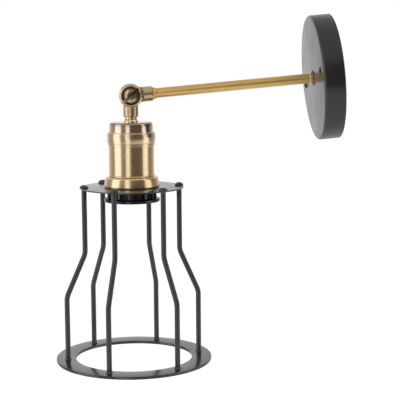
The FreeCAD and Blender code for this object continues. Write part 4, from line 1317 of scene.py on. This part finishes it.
class CAGELIGHT_OT_cage_wires(bpy.types.Operator):
    """Bends the cage's wires, with a riveted head above and a weld below each"""

    bl_idname = "cagelight.cage_wires"
    bl_label = "Cage wires"

    def execute(self, context):
        sizes, holder = settings().cage, settings().holder
        for number in range(sizes.wire_count):
            turn = Matrix.Rotation(sizes.wire_turn + FULL_TURN * number / sizes.wire_count, 4, "Z")
            name = "cage_wire_bent_%d" % (number + 1)
            mesh = self.wire(name, sizes, holder)
            mesh.transform(turn)
            node = "cage_wire_%d" % (number + 1)
            add_piece(name, mesh, "cage_black", "black", ON_HEAD, HEAD_BODY, node)
        return {"FINISHED"}

    def wire(self, name, sizes, holder):
        top, foot = sizes.top_circle / 2, sizes.foot_circle / 2
        plate_top = holder.plate_top
        plate_foot = plate_top + sizes.plate_thickness
        slant = plate_top + sizes.upper_run
        path = path_points([
            (top, 0, -plate_foot),
            (top, 0, -slant),
            (foot, 0, -slant - sizes.slant_height),
            (foot, 0, -sizes.ring_top),
        ], sizes.bend)
        work = bmesh.new()
        swept_rod(work, path, sizes.wire / 2, Vector((0, 1, 0)))
        rivet, rise = sizes.rivet / 2, sizes.rivet_height
        add_turned(work, [
            (0, 0),
            (rivet, 0, 0.2 * MM),
            (rivet * 0.92, rise * 0.42, 0.9 * MM),
            (rivet * 0.45, rise * 0.93, 2.4 * MM),
            (0, rise),
        ], Matrix.Translation((top, 0, -plate_top)))
        wire, weld = sizes.wire / 2, sizes.weld / 2
        add_turned(work, [
            (wire - 0.3 * MM, 0),
            (weld, 0, 0.15 * MM),
            (wire + 0.4 * MM, sizes.weld_height * 0.45, 0.9 * MM),
            (wire + 0.03 * MM, sizes.weld_height),
            (wire - 0.3 * MM, sizes.weld_height),
        ], Matrix.Translation((foot, 0, -sizes.ring_top)))
        return made_mesh(name, work)


class CAGELIGHT_OT_cage_ring(bpy.types.Operator):
    """Cuts the flat ring at the cage's foot"""

    bl_idname = "cagelight.cage_ring"
    bl_label = "Cage ring"

    def execute(self, context):
        sizes = settings().cage
        foot = sizes.ring_top + sizes.ring_thickness
        head_piece("cage_ring_cut", [
            (sizes.ring_bore / 2, foot, 0.5 * MM),
            (sizes.ring / 2, foot, 0.5 * MM),
            (sizes.ring / 2, sizes.ring_top, 0.5 * MM),
            (sizes.ring_bore / 2, sizes.ring_top, 0.5 * MM),
        ], "cage_black", "black", "cage_ring", WIDE_STEPS)
        return {"FINISHED"}


# ---- stage ----
ROOM_RADIUS = 2.6
ROOM_TURNS = 72
ROOM_RISES = (-19.0, -8.0, 4.0, 14.0, 24.0, 36.0, 50.0, 66.0, 82.0)
CAMERA_REACH = 50.0
# The floor's own glow as gloss mirrors it, as a share of what the camera sees.
MIRRORED_GLOW = 0.4
LIGHT_DISTANCE = 1.9
LIGHT_FOOT, LIGHT_TOP = -0.85, 1.5
CEILING_FOOT, CEILING_TOP = 12.0, 40.0
# name, first and last azimuth from the camera's side toward the wall, radiance, colour
SOFT_LIGHTS = (
    ("far_left", -94.0, -56.0, 1.15, (0.94, 1.0, 1.12)),
    ("near_left", -29.5, -9.5, 1.02, (1.0, 1.0, 1.0)),
    ("right", 58.5, 90.0, 1.05, (1.0, 1.0, 1.0)),
)
# azimuth and brightness of the room at eye level, as the metal mirrors it
ROOM_LEVELS = (
    (-180, 1.0), (-165, 0.92), (-151, 0.80), (-135, 0.60), (-119, 0.42), (-103, 0.36), (-47, 0.30),
    (-39, 0.24), (-5, 0.16), (5, 0.11), (52, 0.12), (98, 0.26), (112, 0.26), (123, 0.38),
    (139, 0.58), (155, 0.66), (170, 0.82), (180, 1.0),
)


def between(value, low, high):
    """0 below low, 1 above high, and a smooth step between."""
    share = min(1.0, max(0.0, (value - low) / (high - low)))
    return share * share * (3 - 2 * share)


def room_level(azimuth, rise, ceiling):
    for (before, level), (after, following) in zip(ROOM_LEVELS, ROOM_LEVELS[1:]):
        if before <= azimuth <= after:
            side = level + (following - level) * (azimuth - before) / (after - before)
    return side + (ceiling - side) * between(rise, CEILING_FOOT, CEILING_TOP)


def seen_by_gloss_only(piece):
    piece.visible_camera = False
    piece.visible_diffuse = False
    piece.visible_shadow = False
    piece.visible_transmission = False


class CAGELIGHT_OT_stage(bpy.types.Operator):
    """Sets the pale floor, the soft lights, the unlit room and the camera"""

    bl_idname = "cagelight.stage"
    bl_label = "Stage"

    def execute(self, context):
        stage = settings().stage
        self.background(context.scene, stage)
        self.floor(stage)
        self.room(stage)
        for light in SOFT_LIGHTS:
            self.soft_light(context.scene, *light)
        self.camera(context.scene, stage)
        context.scene.view_settings.view_transform = "Standard"
        return {"FINISHED"}

    def background(self, scene, stage):
        """White wherever it is seen, straight or mirrored, and an even fill elsewhere."""
        world = bpy.data.worlds.new("studio")
        world.use_nodes = True
        scene.world = world
        tree = world.node_tree
        glow = tree.nodes["Background"]
        rays = tree.nodes.new("ShaderNodeLightPath")
        seen = math_node(tree, "MAXIMUM", rays.outputs["Is Camera Ray"], rays.outputs["Is Glossy Ray"])
        seen = math_node(tree, "MAXIMUM", seen, rays.outputs["Is Transmission Ray"])
        level = spread(tree, seen, 0.0, 1.0, stage.sky_level, 1.0)
        tree.links.new(level, glow.inputs["Strength"])
        glow.inputs["Color"].default_value = (1.0, 1.0, 1.0, 1.0)

    def floor(self, stage):
        """A pale floor that shows white, keeps the shadow on it and is clear from below."""
        mesh = bpy.data.meshes.new("floor")
        half, height = stage.floor_size / 2, stage.floor_height
        mesh.from_pydata(
            [(-half, -half, height), (half, -half, height), (half, half, height), (-half, half, height)],
            [], [(0, 1, 2, 3)])
        floor = plain_object("floor", mesh)
        made = Finish("pale_floor", roughness=0.9)
        clouds = made.effect("mottle", Scale=3.0)
        made.colour(made.mix(clouds["Clouds"], stage.floor_colour, darker(stage.floor_colour, 0.985)))
        tree = made.tree
        rays = tree.nodes.new("ShaderNodeLightPath")
        seen = made.share(rays.outputs["Is Camera Ray"], stage.floor_glow)
        mirrored = made.share(rays.outputs["Is Glossy Ray"], stage.floor_glow * MIRRORED_GLOW)
        glow = tree.nodes.new("ShaderNodeEmission")
        tree.links.new(math_node(tree, "ADD", seen, mirrored), glow.inputs["Strength"])
        both = tree.nodes.new("ShaderNodeAddShader")
        tree.links.new(made.shader.outputs[0], both.inputs[0])
        tree.links.new(glow.outputs[0], both.inputs[1])
        side = tree.nodes.new("ShaderNodeNewGeometry")
        clear = tree.nodes.new("ShaderNodeBsdfTransparent")
        from_above = tree.nodes.new("ShaderNodeMixShader")
        tree.links.new(side.outputs["Backfacing"], from_above.inputs["Fac"])
        tree.links.new(both.outputs[0], from_above.inputs[1])
        tree.links.new(clear.outputs[0], from_above.inputs[2])
        tree.links.new(from_above.outputs[0], tree.nodes["Material Output"].inputs["Surface"])
        mesh.materials.append(made.material)

    def room(self, stage):
        """The studio as the metal mirrors it: dim behind the camera, white behind the light."""
        turns, rises = ROOM_TURNS, ROOM_RISES
        verts, levels, faces = [], [], []
        for rise in rises:
            for turn in range(turns):
                azimuth = -180.0 + 360.0 * turn / turns
                across = math.cos(math.radians(rise)) * ROOM_RADIUS
                verts.append((
                    PIVOT.x + across * math.cos(math.radians(azimuth)),
                    PIVOT.y + across * math.sin(math.radians(azimuth)),
                    math.sin(math.radians(rise)) * ROOM_RADIUS))
                levels.append(room_level(azimuth, rise, stage.ceiling_level))
        for row in range(len(rises) - 1):
            for turn in range(turns):
                here, there = row * turns + turn, row * turns + (turn + 1) % turns
                faces.append((here, there, there + turns, here + turns))
        faces.append(tuple(range((len(rises) - 1) * turns, len(rises) * turns)))
        mesh = bpy.data.meshes.new("room")
        mesh.from_pydata(verts, [], faces)
        mesh.attributes.new("level", "FLOAT", "POINT").data.foreach_set("value", levels)
        room = plain_object("room", mesh)
        material = bpy.data.materials.new("room_shade")
        material.use_nodes = True
        tree = material.node_tree
        tree.nodes.remove(tree.nodes["Principled BSDF"])
        mark = tree.nodes.new("ShaderNodeAttribute")
        mark.attribute_name = "level"
        glow = tree.nodes.new("ShaderNodeEmission")
        bright = spread(tree, mark.outputs["Fac"], 0.15, 0.8)
        tree.links.new(mixed(tree, bright, stage.room_colour, (1.0, 1.0, 1.0)), glow.inputs["Color"])
        tree.links.new(mark.outputs["Fac"], glow.inputs["Strength"])
        tree.links.new(glow.outputs[0], tree.nodes["Material Output"].inputs["Surface"])
        mesh.materials.append(material)
        seen_by_gloss_only(room)

    def soft_light(self, scene, name, first, last, radiance, tint):
        """A tall soft box that faces the lamp's line and isn't seen by the camera."""
        data = bpy.data.lights.new(name, "AREA")
        data.shape = "RECTANGLE"
        data.color = tint
        data.size = 2 * LIGHT_DISTANCE * math.tan(math.radians(last - first) / 2)
        data.size_y = LIGHT_TOP - LIGHT_FOOT
        data.energy = radiance * math.pi * data.size * data.size_y
        light = bpy.data.objects.new(name, data)
        scene.collection.objects.link(light)
        angle = math.radians(first + last) / 2
        toward = Vector((math.cos(angle), math.sin(angle), 0))
        light.location = Vector((PIVOT.x, PIVOT.y, (LIGHT_FOOT + LIGHT_TOP) / 2)) + toward * LIGHT_DISTANCE
        light.rotation_euler = toward.to_track_quat("Z", "Y").to_euler()
        light.visible_camera = False

    def camera(self, scene, stage):
        data = bpy.data.cameras.new("camera")
        data.lens = stage.focal_share * data.sensor_width
        data.clip_end = CAMERA_REACH
        camera = bpy.data.objects.new("camera", data)
        camera.location = stage.camera_place
        camera.rotation_euler = stage.camera_turn
        scene.collection.objects.link(camera)
        scene.camera = camera


# ---- panel and start ----
STEPS = (
    CAGELIGHT_OT_canopy,
    CAGELIGHT_OT_canopy_screws,
    CAGELIGHT_OT_wall_fixing,
    CAGELIGHT_OT_arm,
    CAGELIGHT_OT_knuckle,
    CAGELIGHT_OT_neck,
    CAGELIGHT_OT_holder,
    CAGELIGHT_OT_socket,
    CAGELIGHT_OT_shade_ring,
    CAGELIGHT_OT_cage_plate,
    CAGELIGHT_OT_cage_wires,
    CAGELIGHT_OT_cage_ring,
    CAGELIGHT_OT_stage,
)


class CAGELIGHT_PT_panel(bpy.types.Panel):
    """Lists the light's pieces, sizes and colours"""

    bl_idname = "CAGELIGHT_PT_panel"
    bl_label = "Cage Wall Light"
    bl_space_type = "VIEW_3D"
    bl_region_type = "UI"
    bl_category = "Cage Light"

    def draw(self, context):
        for step in STEPS:
            self.layout.operator(step.bl_idname)
        chosen = context.scene.cage_light
        for part in ("canopy", "arm", "knuckle", "holder", "cage", "finish", "stage"):
            box = self.layout.box()
            box.label(text=part.title())
            group = getattr(chosen, part)
            for name in group.bl_rna.properties.keys():
                if name not in ("rna_type", "name"):
                    box.prop(group, name)


CLASSES = (
    CanopySizes,
    ArmSizes,
    KnuckleSizes,
    HolderSizes,
    CageSizes,
    FinishColours,
    StageSettings,
    CageLightSettings,
    *STEPS,
    CAGELIGHT_PT_panel,
)


def register():
    for entry in CLASSES:
        bpy.utils.register_class(entry)
    bpy.types.Scene.cage_light = PointerProperty(type=CageLightSettings)


def unregister():
    del bpy.types.Scene.cage_light
    for entry in reversed(CLASSES):
        bpy.utils.unregister_class(entry)


def main():
    register()
    for step in STEPS:
        group, name = step.bl_idname.split(".")
        getattr(getattr(bpy.ops, group), name)()


if __name__ == "__main__":
    main()
